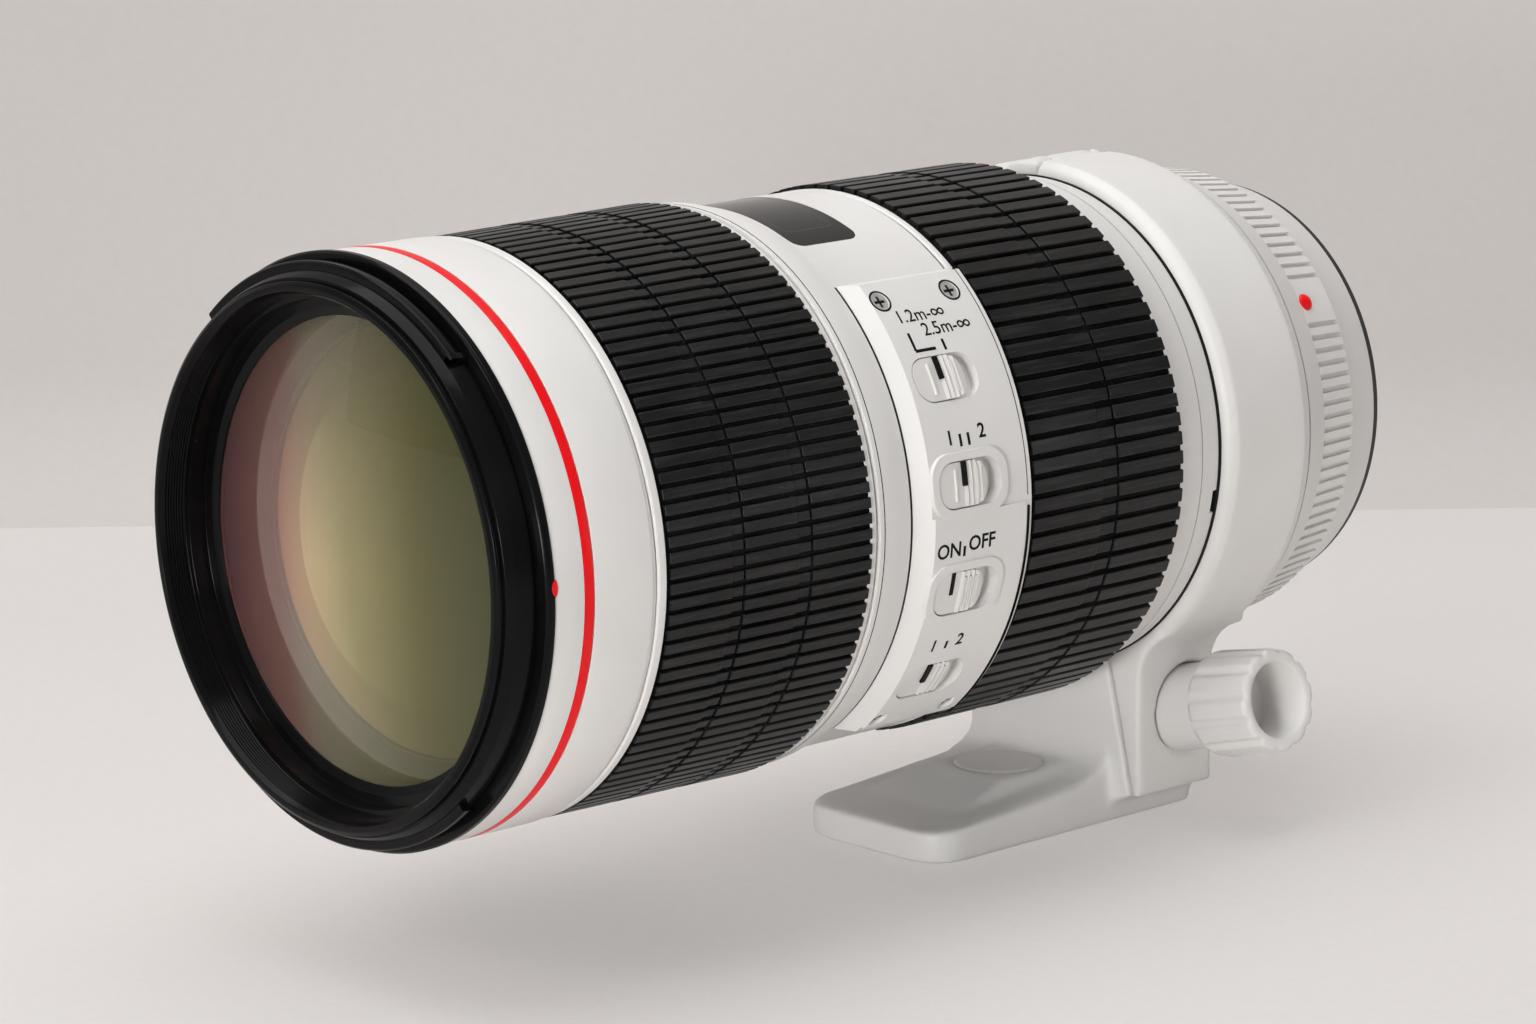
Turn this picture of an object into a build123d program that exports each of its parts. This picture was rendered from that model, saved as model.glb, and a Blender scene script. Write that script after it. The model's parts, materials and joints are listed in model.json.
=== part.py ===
from build123d import *
import os
from math import atan2, cos, degrees, hypot, radians, sin, sqrt

# Telephoto zoom camera lens with a tripod collar, lying on its foot.
# The origin is the centre of the camera flange. +X points back to the camera,
# +Z is up and the switch panel is on the -Y side, called the near side here.
# Lengths are in millimetres. A station is a distance behind the front lip.
# An angle on the barrel is counted from the top towards the near side.

# Fits
running = 0.08          # radial play of a part that turns or slides on another
seam = 0.3              # gap between neighbours that move past each other
slide_gap = 0.2         # play beside and under a switch cap
overrun = 1.0           # how far a cutter reaches past what it cuts

# Lengths along the barrel, from the front lip back
filter_ring_length = 7.6
front_barrel_length = 18.95
focus_ring_length = 43.0
middle_barrel_length = 30.9
zoom_ring_length = 41.9
index_ring_length = 4.4
collar_gap = 0.5
collar_length = 20.3
rear_barrel_length = 22.7
flange_stand = 1.75     # mount flange behind the painted barrel

# Walls and steps that the radii are built from, outwards from the filter thread
thread_radius = 38.5    # 77 mm filter thread
tube_step = 0.7         # fixed guide tube, that every ring turns on, over the thread
tube_wall = 1.6
cam_wall = 1.3
barrel_wall = 4.8       # painted front barrel over the guide tube
rim_step = 0.15         # rims of the focus ring below the front barrel
grip_proud = 0.4        # focus ribs above the front barrel
middle_step = 1.2       # middle barrel below the front barrel
seat_step = 0.6         # seat that the tripod collar clamps, below the guide tube
collar_wall = 3.82
rear_wall = 3.0

# Tripod foot
foot_drop = 22.7        # table below the collar
foot_reach = 40.0       # foot in front of the collar

# Ranges of travel
focus_turn = 140.0      # degrees of the focus ring between its end stops
focus_gearing = 0.5     # the cam tube turns half as far as the focus ring
focus_travel = -14.0
zoom_turn = 72.0
variator_travel = 17.0
compensator_travel = -8.0
switch_travel = 2.6

focus_cam_turn = focus_turn * focus_gearing

# Stations worked out from the lengths above
front_barrel_start = filter_ring_length
front_barrel_end = front_barrel_start + front_barrel_length
focus_start = front_barrel_end + seam
focus_end = focus_start + focus_ring_length
middle_start = focus_end + seam
middle_end = middle_start + middle_barrel_length
zoom_start = middle_end + seam
zoom_end = zoom_start + zoom_ring_length
index_start = zoom_end + seam
index_end = index_start + index_ring_length
collar_start = index_end + collar_gap
collar_end = collar_start + collar_length
shoulder = collar_end + seam
barrel_end = shoulder + rear_barrel_length
lens_length = barrel_end + flange_stand

tube_radius = thread_radius + tube_step
barrel_radius = tube_radius + barrel_wall
rim_radius = barrel_radius - rim_step
grip_radius = barrel_radius + grip_proud
middle_radius = barrel_radius - middle_step
seat_radius = tube_radius - seat_step
rear_bore_radius = seat_radius - rear_wall
collar_radius = seat_radius + collar_wall + running
foot_height = collar_radius + foot_drop
tube_bore = tube_radius - tube_wall
cam_radius = tube_bore - running
cam_bore = cam_radius - cam_wall
cell_radius = cam_bore - running
ring_bore = tube_radius + running
collar_bore = seat_radius + running
full_turn = 360.0


def at(station):
    return station - lens_length


def on_circle(radius, angle):
    """Y and Z of a point at this radius and angle on the barrel."""
    return -radius * sin(radians(angle)), radius * cos(radians(angle))


def turned(points, start=0.0, sweep=full_turn):
    """Body turned about the optical axis from (station, radius) points."""
    outline = Polyline(*[(at(s), 0, r) for s, r in points], close=True)
    return Rot(X=start) * revolve(make_face(outline), Axis.X, sweep)


def block(station, angle, floor, length, width, height, corner):
    """Rounded block standing on the barrel: floor is the radius of its foot."""
    pad = extrude(RectangleRounded(length, width, corner), height)
    return Rot(X=angle) * Pos(at(station), 0, floor) * pad


def peg(station, angle, inner, outer, radius):
    """Round pin that points away from the optical axis."""
    pin = Cylinder(radius, outer - inner, align=(Align.CENTER, Align.CENTER, Align.MIN))
    return Rot(X=angle) * Pos(at(station), 0, inner) * pin


def sag(curve, radius):
    """Depth of a ground face between its vertex and this radius."""
    return curve - sqrt(curve * curve - radius * radius)


def lens_element(front, rear, radius, front_curve, rear_curve):
    """Ground glass disc whose two faces both bulge to the front."""
    def arc(vertex, curve):
        half = radius / 2
        middle = (at(vertex + sag(curve, half)), 0, half)
        return (at(vertex), 0, 0), middle, (at(vertex + sag(curve, radius)), 0, radius)

    front_points = arc(front, front_curve)
    rear_points = arc(rear, rear_curve)
    outline = [
        ThreePointArc(*front_points),
        Line(front_points[2], rear_points[2]),
        ThreePointArc(*rear_points),
        Line(rear_points[0], front_points[0]),
    ]
    return revolve(make_face(outline), Axis.X, full_turn)


def rib_outline(station, count, valley, height, gap_share, blank=None):
    """Closed outline of axial ribs round the barrel at one station."""
    pitch = full_turn / count
    points = []
    for index in range(count):
        left = index * pitch
        middle = left + pitch / 2
        if blank and abs(middle - blank[0]) < blank[1]:
            floor = valley + height * (1 - smooth_share)
        else:
            floor = valley
        gap_end = left + pitch * gap_share
        points.append((floor, left))
        points.append((floor, gap_end))
        points.append((valley + height, gap_end))
        points.append((valley + height, left + pitch))
    return make_face(Polyline(*[(at(station), *on_circle(r, a)) for r, a in points], close=True))


def ribbed(front, rear, count, front_valley, rear_valley, height, gap_share, blank=None):
    """Ribbed cone between two stations."""
    ends = [
        rib_outline(front, count, front_valley, height, gap_share, blank),
        rib_outline(rear, count, rear_valley, height, gap_share, blank),
    ]
    return loft(ends, ruled=True)


smooth_share = 0.02     # trace of the grooves left where the rear ribs are blank


# Filter ring, with the thread seat, the hood bayonet and the stepped front baffle
thread_start = 0.9
thread_length = 3.5
lip_wall = 1.7
lip_width = 0.9
lip_groove = 0.35
band_front_step = 0.8
band_rear_step = 2.1
hood_groove_depth = 0.5
hood_lug_height = 0.9
hood_flange_step = 0.3
hood_flange_width = 2.0
baffle_step = 1.0
glass_rebate = 1.5
glass_margin = 2.4      # lip over the edge of the front glass
glass_depth = 1.3       # glass seat behind the ring's rear edge
spigot_depth = 1.9
filter_spigot_length = 6.4
hood_lug_width = 1.5
hood_lug_half_angle = 41.0

front_glass_curve = 160.0
front_glass_back_curve = 420.0
front_glass_edge = 4.2
glass_bed = 0.02        # bonding film between a glass and its lip

thread_end = thread_start + thread_length
lip_radius = thread_radius + lip_wall
band_front_radius = lip_radius + band_front_step
band_rear_radius = lip_radius + band_rear_step
band_end = filter_ring_length - hood_flange_width
hood_groove_radius = band_rear_radius - hood_groove_depth
hood_lug_radius = band_rear_radius + hood_lug_height
hood_flange_radius = barrel_radius + hood_flange_step
baffle_radius_front = thread_radius - baffle_step
glass_seat_radius = thread_radius - glass_rebate
glass_view_radius = glass_seat_radius - glass_margin
baffle_end = filter_ring_length + glass_depth
filter_spigot_radius = barrel_radius - spigot_depth
second_glass_curve = 120.0
second_glass_step = 3.1 # second front element inside the edge of the first
second_seat_depth = 6.0
second_seat_length = 7.0

filter_spigot_end = filter_ring_length + filter_spigot_length
glass_lean = sag(front_glass_curve, glass_seat_radius) - sag(front_glass_curve, glass_view_radius)
second_glass_radius = glass_view_radius - second_glass_step
second_seat_front = filter_spigot_end + second_seat_depth
second_seat_rear = second_seat_front + second_seat_length


def make_filter_ring():
    body = turned([
        (0, thread_radius + thread_start),
        (0, lip_radius),
        (lip_width, lip_radius + lip_groove),
        (lip_width, lip_radius),
        (lip_width + lip_groove, lip_radius),
        (lip_width + lip_groove, band_front_radius),
        (lip_width + lip_groove + hood_lug_width, band_rear_radius - lip_groove),
        (band_end, band_rear_radius),
        (band_end, hood_groove_radius),
        (band_end + lip_groove, hood_groove_radius),
        (band_end + lip_groove, hood_flange_radius - lip_groove),
        (band_end + lip_groove + lip_groove, hood_flange_radius),
        (filter_ring_length, hood_flange_radius),
        (filter_ring_length, filter_spigot_radius),
        (filter_spigot_end, filter_spigot_radius),
        (filter_spigot_end, glass_seat_radius),
        (baffle_end, glass_seat_radius),
        (baffle_end - glass_lean, glass_view_radius),
        (baffle_end - glass_lean - lip_groove, glass_view_radius),
        (baffle_end - glass_depth, glass_seat_radius - baffle_step),
        (baffle_end - glass_depth, baffle_radius_front),
        (thread_end, baffle_radius_front),
        (thread_end, thread_radius),
        (thread_start, thread_radius),
    ])
    lug_start = lip_width + lip_groove + hood_lug_width
    lug = turned([
        (lug_start, band_front_radius),
        (lug_start, hood_lug_radius - lip_groove),
        (lug_start + lip_groove, hood_lug_radius),
        (lug_start + hood_lug_width, hood_lug_radius),
        (lug_start + hood_lug_width, band_front_radius),
    ], -hood_lug_half_angle, 2 * hood_lug_half_angle)
    return body + lug + Rot(X=full_turn / 2) * lug


def make_front_glass():
    front = baffle_end + glass_bed - sag(front_glass_curve, glass_seat_radius)
    rear = baffle_end + front_glass_edge - sag(front_glass_back_curve, glass_seat_radius)
    return lens_element(front, rear, glass_seat_radius, front_glass_curve, front_glass_back_curve)


# Front barrel with the inlaid stripe ring
stripe_start = 13.2
stripe_width = 1.2
stripe_depth = 0.6
stripe_proud = 0.03
edge_break = 0.3


def make_front_barrel():
    end = front_barrel_end
    return turned([
        (front_barrel_start, filter_spigot_radius),
        (front_barrel_start, barrel_radius),
        (stripe_start, barrel_radius),
        (stripe_start, barrel_radius - stripe_depth),
        (stripe_start + stripe_width, barrel_radius - stripe_depth),
        (stripe_start + stripe_width, barrel_radius),
        (end - edge_break, barrel_radius),
        (end, barrel_radius - edge_break),
        (end, tube_radius),
        (filter_spigot_end, tube_radius),
        (filter_spigot_end, filter_spigot_radius),
    ])


def make_stripe_ring():
    return turned([
        (stripe_start, barrel_radius - stripe_depth),
        (stripe_start, barrel_radius + stripe_proud),
        (stripe_start + stripe_width, barrel_radius + stripe_proud),
        (stripe_start + stripe_width, barrel_radius - stripe_depth),
    ])


# Follower pins and the slots that lead them
pin_radius = 1.2
pin_play = 0.15
pin_tip_radius = tube_radius - running
pins_per_cell = 3
slot_half_width = pin_radius + pin_play
pin_root = 2.0


def straight_slot(station, travel, angle):
    """Slot in the guide tube for one follower pin and its travel."""
    low = min(station, station + travel) - slot_half_width
    high = max(station, station + travel) + slot_half_width
    cutter = extrude(SlotOverall(high - low, 2 * slot_half_width), tube_wall + 2 * overrun)
    return Rot(X=angle) * Pos(at((low + high) / 2), 0, tube_bore - overrun) * cutter


def helical_slot(station, travel, turn, angle, depth):
    """Path of a pin that keeps its angle while the cam tube turns, without its round ends."""
    middle = (cam_radius + cam_bore) / 2
    rise = abs(travel)
    if travel > 0:
        first_angle, first_station = angle, station
    else:
        first_angle, first_station = angle - turn, station + travel
    path = Helix(rise * full_turn / turn, rise, middle, lefthand=travel > 0)
    section = Plane(origin=path @ 0, x_dir=(1, 0, 0), z_dir=path % 0)
    cutter = sweep(section * Rectangle(depth, 2 * slot_half_width), path, is_frenet=True)
    # The helix is made round Z from the +X side, so it is laid along the lens here
    return Pos(at(first_station), 0, 0) * Rot(X=first_angle - full_turn / 2) * Rot(Y=90) * cutter


def pin_angles(first):
    return [first + index * full_turn / pins_per_cell for index in range(pins_per_cell)]


def cut_helical_slots(tube, station, travel, turn, first):
    """Three equal cam slots, each with a round end where its pin stops."""
    low = cam_bore - overrun
    high = cam_radius + overrun
    for angle in pin_angles(first):
        tube -= helical_slot(station, travel, turn, angle, high - low)
        tube -= peg(station, angle, low, high, slot_half_width)
        tube -= peg(station + travel, angle - turn, low, high, slot_half_width)
    return tube


# Focus group: cell at the far end of its travel, cam tube, roller ring and scale drum
focus_cell_inset = 11.85 # focus cell ahead of the focus ring's rear edge
focus_pin_angle = 100.0
cam_inset = 3.2         # cam tube behind the focus ring's front edge
key_width = 4.0
key_length = 4.0
key_root = 0.8          # how far a drive key enters the cam tube
motor_inset = 3.9       # ring motor ahead of the focus ring's rear land
motor_length = 6.0
motor_gap = 1.5
roller_length = 4.0
roller_wall = 1.6
scale_length = 13.4
scale_wall = 1.2
scale_inset = 7.6       # scale window behind the front edge of the middle barrel
land_length = 3.0       # lands at the ends of a ring, that run on the guide tube

focus_cell_station = focus_end - focus_cell_inset
motor_rear = focus_end - land_length - motor_inset
motor_front = motor_rear - motor_length
roller_station = motor_front - motor_gap - roller_length / 2
roller_radius = ring_bore + roller_wall
scale_radius = ring_bore + scale_wall
scale_start = middle_start + scale_inset
scale_end = scale_start + scale_length
scale_key_station = scale_start + key_length / 2
focus_cam_start = focus_start + cam_inset
focus_cam_end = scale_key_station + key_length


def drive_key(station, top):
    """Key that stands at the top of a ring and reaches down into the cam tube."""
    floor = cam_radius - key_root
    return block(station, 0, floor, key_length, key_width, top - floor, pin_play)


def key_slot(station, turn):
    """Slot round the guide tube that lets a drive key turn through its range."""
    half = degrees((key_width / 2 + seam) / tube_bore)
    front = station - key_length / 2 - seam
    rear = station + key_length / 2 + seam
    return turned([
        (front, tube_bore - overrun),
        (front, tube_radius + overrun),
        (rear, tube_radius + overrun),
        (rear, tube_bore - overrun),
    ], -half, turn + 2 * half)


# Zoom group
zoom_key_inset = 10.7   # drive key behind the zoom ring's front edge
variator_inset = 8.0    # variator behind the front of its cam tube
compensator_inset = 11.0
zoom_pin_angle = 100.0
diaphragm_depth = 5.9   # diaphragm ahead of the rear end of the guide tube
cam_gap = 1.0

zoom_cam_start = focus_cam_end + seam
diaphragm_front = index_end - diaphragm_depth
zoom_cam_end = diaphragm_front - cam_gap
variator_station = zoom_cam_start + variator_inset
compensator_station = zoom_cam_end - compensator_inset
zoom_key_station = zoom_start + zoom_key_inset


def make_main_tube():
    tube = turned([
        (filter_spigot_end, tube_bore),
        (filter_spigot_end, tube_radius),
        (index_end, tube_radius),
        (index_end, tube_bore),
    ])
    middle = (tube_radius + tube_bore) / 2
    tube += turned([
        (second_seat_front, middle),
        (second_seat_front, second_glass_radius),
        (second_seat_rear - cell_lip, second_glass_radius),
        (second_seat_rear - cell_lip, second_glass_radius - cell_lip),
        (second_seat_rear, second_glass_radius - cell_lip),
        (second_seat_rear, middle),
    ])
    for angle in pin_angles(focus_pin_angle):
        tube -= straight_slot(focus_cell_station, focus_travel, angle)
    for angle in pin_angles(zoom_pin_angle):
        tube -= straight_slot(variator_station, variator_travel, angle)
    for angle in pin_angles(zoom_pin_angle):
        tube -= straight_slot(compensator_station, compensator_travel, angle)
    tube -= key_slot(roller_station, focus_cam_turn)
    tube -= key_slot(scale_key_station, focus_cam_turn)
    tube -= key_slot(zoom_key_station, zoom_turn)
    return tube


def cam_tube(front, rear):
    return turned([(front, cam_bore), (front, cam_radius), (rear, cam_radius), (rear, cam_bore)])


def make_focus_cam_tube():
    tube = cam_tube(focus_cam_start, focus_cam_end)
    tube = cut_helical_slots(tube, focus_cell_station, focus_travel, focus_cam_turn, focus_pin_angle)
    tube -= drive_key(roller_station, roller_radius)
    tube -= drive_key(scale_key_station, scale_radius)
    return tube


def make_zoom_cam_tube():
    tube = cam_tube(zoom_cam_start, zoom_cam_end)
    tube = cut_helical_slots(tube, variator_station, variator_travel, zoom_turn, zoom_pin_angle)
    tube = cut_helical_slots(tube, compensator_station, compensator_travel, zoom_turn, zoom_pin_angle)
    tube -= drive_key(zoom_key_station, tube_radius)
    return tube


def make_roller_ring():
    front = roller_station - roller_length / 2
    rear = front + roller_length
    ring = turned([
        (front, ring_bore), (front, roller_radius), (rear, roller_radius), (rear, ring_bore),
    ])
    return ring + drive_key(roller_station, roller_radius - running)


def make_scale_drum():
    drum = turned([
        (scale_start, ring_bore), (scale_start, scale_radius),
        (scale_end, scale_radius), (scale_end, ring_bore),
    ])
    return drum + drive_key(scale_key_station, scale_radius - running)


motor_groove = 0.6


def make_focus_motor():
    """Ring motor: stator and rotor pressed together on the guide tube."""
    middle = (motor_front + motor_rear) / 2
    return turned([
        (motor_front, tube_radius),
        (motor_front, roller_radius),
        (middle - motor_groove, roller_radius),
        (middle - motor_groove, roller_radius - motor_groove),
        (middle + motor_groove, roller_radius - motor_groove),
        (middle + motor_groove, roller_radius),
        (motor_rear, roller_radius),
        (motor_rear, tube_radius),
    ])


# Cells carry their glass on a shelf and run on three follower pins
cell_half_length = 4.5
cell_shelf = 1.2
cell_lip = 1.0


def carrier(station, glass_radius, pins_at):
    """Lens cell with follower pins, open in the middle."""
    front = station - cell_half_length
    rear = station + cell_half_length
    shelf = glass_radius + cell_shelf
    body = turned([
        (front, shelf),
        (front, cell_radius),
        (rear, cell_radius),
        (rear, glass_radius - cell_lip),
        (rear - cell_lip, glass_radius - cell_lip),
        (rear - cell_lip, glass_radius),
        (front + cell_lip, glass_radius),
    ])
    for angle in pin_angles(pins_at):
        body += peg(station, angle, cell_radius - pin_root, pin_tip_radius, pin_radius)
    return body


def cell_glass(station, glass_radius, front_curve, rear_curve):
    """Element that sits on the shelf of its cell."""
    rear = station + cell_half_length - cell_lip - sag(rear_curve, glass_radius)
    front = station - cell_half_length + cell_lip + cell_lip - sag(front_curve, glass_radius)
    return lens_element(front, rear, glass_radius, front_curve, rear_curve)


focus_cell_wall = 5.1
focus_glass_curve = 95.0
variator_glass_radius = 22.0
variator_glass_curve = 150.0
compensator_glass_radius = 19.0
compensator_glass_curve = 70.0
flatter_curve = 600.0

focus_glass_radius = cell_radius - focus_cell_wall


def make_focus_cell():
    return carrier(focus_cell_station, focus_glass_radius, focus_pin_angle)


def make_focus_glass():
    return cell_glass(focus_cell_station, focus_glass_radius, focus_glass_curve, flatter_curve)


def make_second_glass():
    """Second element of the front group, on a shelf turned in the guide tube."""
    front = second_seat_front + cell_lip - sag(second_glass_curve, second_glass_radius)
    rear = second_seat_rear - cell_lip - sag(flatter_curve, second_glass_radius)
    return lens_element(front, rear, second_glass_radius, second_glass_curve, flatter_curve)


def make_variator_cell():
    return carrier(variator_station, variator_glass_radius, zoom_pin_angle)


def make_variator_glass():
    return cell_glass(variator_station, variator_glass_radius, variator_glass_curve, flatter_curve)


def make_compensator_cell():
    return carrier(compensator_station, compensator_glass_radius, zoom_pin_angle)


def make_compensator_glass():
    return cell_glass(compensator_station, compensator_glass_radius, compensator_glass_curve, flatter_curve)


# Focus ring and its ribbed rubber
focus_rim_front = 1.65
focus_rim_rear = 1.35
focus_ribs = 120
rib_height = 0.6
focus_taper = 0.6       # the ribs stand this much lower at the front end
rib_gap_share = 0.42
grip_seat_depth = 1.8

focus_grip_start = focus_start + focus_rim_front
focus_grip_end = focus_end - focus_rim_rear
focus_seat_radius = grip_radius - grip_seat_depth
focus_relief = roller_radius + seam


def make_focus_ring():
    return turned([
        (focus_start, ring_bore),
        (focus_start, rim_radius - edge_break),
        (focus_start + edge_break, rim_radius),
        (focus_grip_start, rim_radius),
        (focus_grip_start, focus_seat_radius),
        (focus_grip_end, focus_seat_radius),
        (focus_grip_end, rim_radius),
        (focus_end - edge_break, rim_radius),
        (focus_end, rim_radius - edge_break),
        (focus_end, ring_bore),
        (focus_end - land_length, ring_bore),
        (focus_end - land_length, focus_relief),
        (focus_start + land_length, focus_relief),
        (focus_start + land_length, ring_bore),
    ])


def make_focus_grip():
    rear_valley = grip_radius - rib_height
    rubber = ribbed(focus_grip_start, focus_grip_end, focus_ribs,
                    rear_valley - focus_taper, rear_valley, rib_height, rib_gap_share)
    core = turned([
        (focus_grip_start - overrun, 0), (focus_grip_start - overrun, focus_seat_radius),
        (focus_grip_end + overrun, focus_seat_radius), (focus_grip_end + overrun, 0),
    ])
    return rubber - core


# Zoom ring and its ribbed rubber
zoom_rim_front = 1.1
zoom_rim_rear = 6.75
zoom_rim_height = 0.1   # front rim above the middle barrel
zoom_rear_step = 0.6    # rear rim below the front one
zoom_tail_step = 1.25   # fall of the rear rim's taper
zoom_grip_proud = 0.6
zoom_ribs = 90
zoom_ring_wall = 1.2    # under the rubber

zoom_front_radius = middle_radius + zoom_rim_height
zoom_rear_radius = zoom_front_radius - zoom_rear_step
zoom_tail_radius = zoom_rear_radius - zoom_tail_step
zoom_grip_radius = zoom_front_radius + zoom_grip_proud
zoom_grip_start = zoom_start + zoom_rim_front
zoom_grip_end = zoom_end - zoom_rim_rear
zoom_seat_radius = zoom_grip_radius - grip_seat_depth
zoom_relief = zoom_seat_radius - zoom_ring_wall


def make_zoom_ring():
    body = turned([
        (zoom_start, ring_bore),
        (zoom_start, zoom_front_radius - edge_break),
        (zoom_start + edge_break, zoom_front_radius),
        (zoom_grip_start, zoom_front_radius),
        (zoom_grip_start, zoom_seat_radius),
        (zoom_grip_end, zoom_seat_radius),
        (zoom_grip_end, zoom_rear_radius),
        (zoom_end, zoom_tail_radius),
        (zoom_end, ring_bore),
        (zoom_end - land_length, ring_bore),
        (zoom_end - land_length, zoom_relief),
        (zoom_start + land_length, zoom_relief),
        (zoom_start + land_length, ring_bore),
    ])
    return body + drive_key(zoom_key_station, zoom_relief + running)


def make_zoom_grip():
    valley = zoom_grip_radius - rib_height
    rubber = ribbed(zoom_grip_start, zoom_grip_end, zoom_ribs,
                    valley, valley, rib_height, rib_gap_share)
    core = turned([
        (zoom_grip_start - overrun, 0), (zoom_grip_start - overrun, zoom_seat_radius),
        (zoom_grip_end + overrun, zoom_seat_radius), (zoom_grip_end + overrun, 0),
    ])
    return rubber - core


# Middle barrel with the distance window
shelf_step = 0.1        # raised front shelf below the front barrel
shelf_length = 3.3
shelf_slope = 4.6
window_length = 13.8
window_half_angle = 25.5
window_thickness = 1.1
window_corner = 2.4
window_ledge = 1.2
window_sunk = 0.1
drum_clearance = 0.35

shelf_radius = barrel_radius - shelf_step
window_station = scale_start + scale_length / 2
window_width = 2 * middle_radius * sin(radians(window_half_angle))


def window_outline(inset):
    return Pos(at(window_station), 0, 0) * extrude(
        RectangleRounded(window_length - 2 * inset, window_width - 2 * inset, window_corner),
        grip_radius + overrun)


def make_scale_window():
    top = middle_radius - window_sunk
    pane = turned([
        (middle_start, top - window_thickness), (middle_start, top),
        (middle_end, top), (middle_end, top - window_thickness),
    ])
    return pane & window_outline(0)


def make_middle_barrel():
    relief = scale_radius + drum_clearance
    shell = turned([
        (middle_start, tube_radius),
        (middle_start, shelf_radius - 2 * edge_break),
        (middle_start + edge_break, shelf_radius),
        (middle_start + shelf_length, shelf_radius),
        (middle_start + shelf_length + shelf_slope, middle_radius),
        (middle_end - edge_break, middle_radius),
        (middle_end, middle_radius - edge_break),
        (middle_end, tube_radius),
        (scale_end + seam, tube_radius),
        (scale_end + seam, relief),
        (scale_start - seam, relief),
        (scale_start - seam, tube_radius),
    ])
    seat = middle_radius - window_sunk - window_thickness
    pocket = turned([
        (middle_start, seat), (middle_start, grip_radius + overrun),
        (middle_end, grip_radius + overrun), (middle_end, seat),
    ])
    return shell - (pocket & window_outline(0)) - window_outline(window_ledge)


# Switch panel on the near side
panel_height = 2.1
panel_middle = 91.25
panel_half_angle = 52.75
panel_bevel = 2.0
step_offset = 1.65      # raised step before the middle of the panel, in degrees
step_height = 0.35
step_inset = 1.4
slot_length = 13.0
slot_width = 7.2
slot_corner = 3.1
slot_depth = 1.8
slot_rim = 1.3
rim_height = 0.35
cap_height = 2.05
cap_ridge = 0.35
switch_inset = 9.65     # middle of the slots behind the panel's front edge
switch_offsets = {"focus_limit_switch": -28.05, "focus_mode_switch": -7.35,
                  "stabilizer_switch": 13.95, "stabilizer_mode_switch": 35.05}
raised_rims = ("focus_mode_switch", "stabilizer_switch")
panel_screw_radius = 1.6
panel_screw_length = 3.0
screw_sink = 0.35
screw_front_inset = 4.0
screw_rear_inset = 4.5
screw_angle_inset = 7.0
cross_width = 0.55
cross_depth = 0.5

panel_radius = middle_radius + panel_height
panel_front = middle_start + shelf_length + shelf_slope
step_angle = panel_middle - step_offset
switch_angles = {name: panel_middle + offset for name, offset in switch_offsets.items()}
switch_station = panel_front + switch_inset
slot_floor = panel_radius - slot_depth
cap_length = slot_length - switch_travel - 2 * slide_gap
cap_station = switch_station - switch_travel / 2


def panel_screw_places():
    stations = (panel_front + screw_front_inset, middle_end - screw_rear_inset)
    edge = panel_half_angle - screw_angle_inset
    return [(s, panel_middle + side * edge) for side in (-1, 1) for s in stations]


def panel_slab(first, last):
    """Piece of a cylinder wall with its front and end edges bevelled."""
    slab = turned([
        (panel_front, middle_radius), (panel_front, panel_radius),
        (middle_end, panel_radius), (middle_end, middle_radius),
    ], first, last - first)

    def on_top(point):
        return hypot(point.Y, point.Z) > panel_radius - edge_break

    rims = [e for e in slab.edges() if on_top(e @ 0) and on_top(e @ 1)]
    return chamfer([e for e in rims if e.center().X < at(middle_end) - edge_break], panel_bevel)


def make_switch_panel():
    first = panel_middle - panel_half_angle
    last = panel_middle + panel_half_angle
    body = panel_slab(first, last)
    step_last = last - degrees((panel_bevel + step_inset) / panel_radius)
    body += turned([
        (panel_front + panel_bevel, panel_radius - overrun),
        (panel_front + panel_bevel, panel_radius),
        (panel_front + panel_bevel + step_height, panel_radius + step_height),
        (middle_end - step_inset, panel_radius + step_height),
        (middle_end - step_inset, panel_radius - overrun),
    ], step_angle, step_last - step_angle)
    for name, angle in switch_angles.items():
        if name in raised_rims:
            rim_top = panel_radius + step_height + rim_height
            dome = turned([
                (panel_front, panel_radius - overrun), (panel_front, rim_top),
                (middle_end, rim_top), (middle_end, panel_radius - overrun),
            ])
            body += dome & block(switch_station, angle, slot_floor, slot_length + 2 * slot_rim,
                                 slot_width + 2 * slot_rim, slot_depth + overrun,
                                 slot_corner + slot_rim / 2)
    for name, angle in switch_angles.items():
        body -= block(switch_station, angle, slot_floor, slot_length, slot_width,
                      slot_depth + 2 * overrun, slot_corner)
    for station, angle in panel_screw_places():
        floor = panel_radius - panel_screw_length
        body -= peg(station, angle, floor + overrun, panel_radius + 2 * overrun,
                    panel_screw_radius)
    return body


def make_panel_screws():
    """Cross-head screws that hold the panel."""
    screws = []
    for station, angle in panel_screw_places():
        floor = panel_radius - panel_screw_length + overrun
        head = peg(station, angle, floor, panel_radius - screw_sink + step_height / 2, panel_screw_radius)
        for turn in (0, 90):
            cross = Box(2 * panel_screw_radius - 2 * cross_width, cross_width, 2 * cross_depth)
            head -= Rot(X=angle) * Pos(at(station), 0, panel_radius - screw_sink) * Rot(Z=turn) * cross
        screws.append(head)
    return Compound(children=screws)


cap_front_share = 0.33
cap_ridge_shares = (0.56, 0.66, 0.76, 0.86)
ridge_half_share = 0.05
cap_half_angle = 15.0


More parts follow.
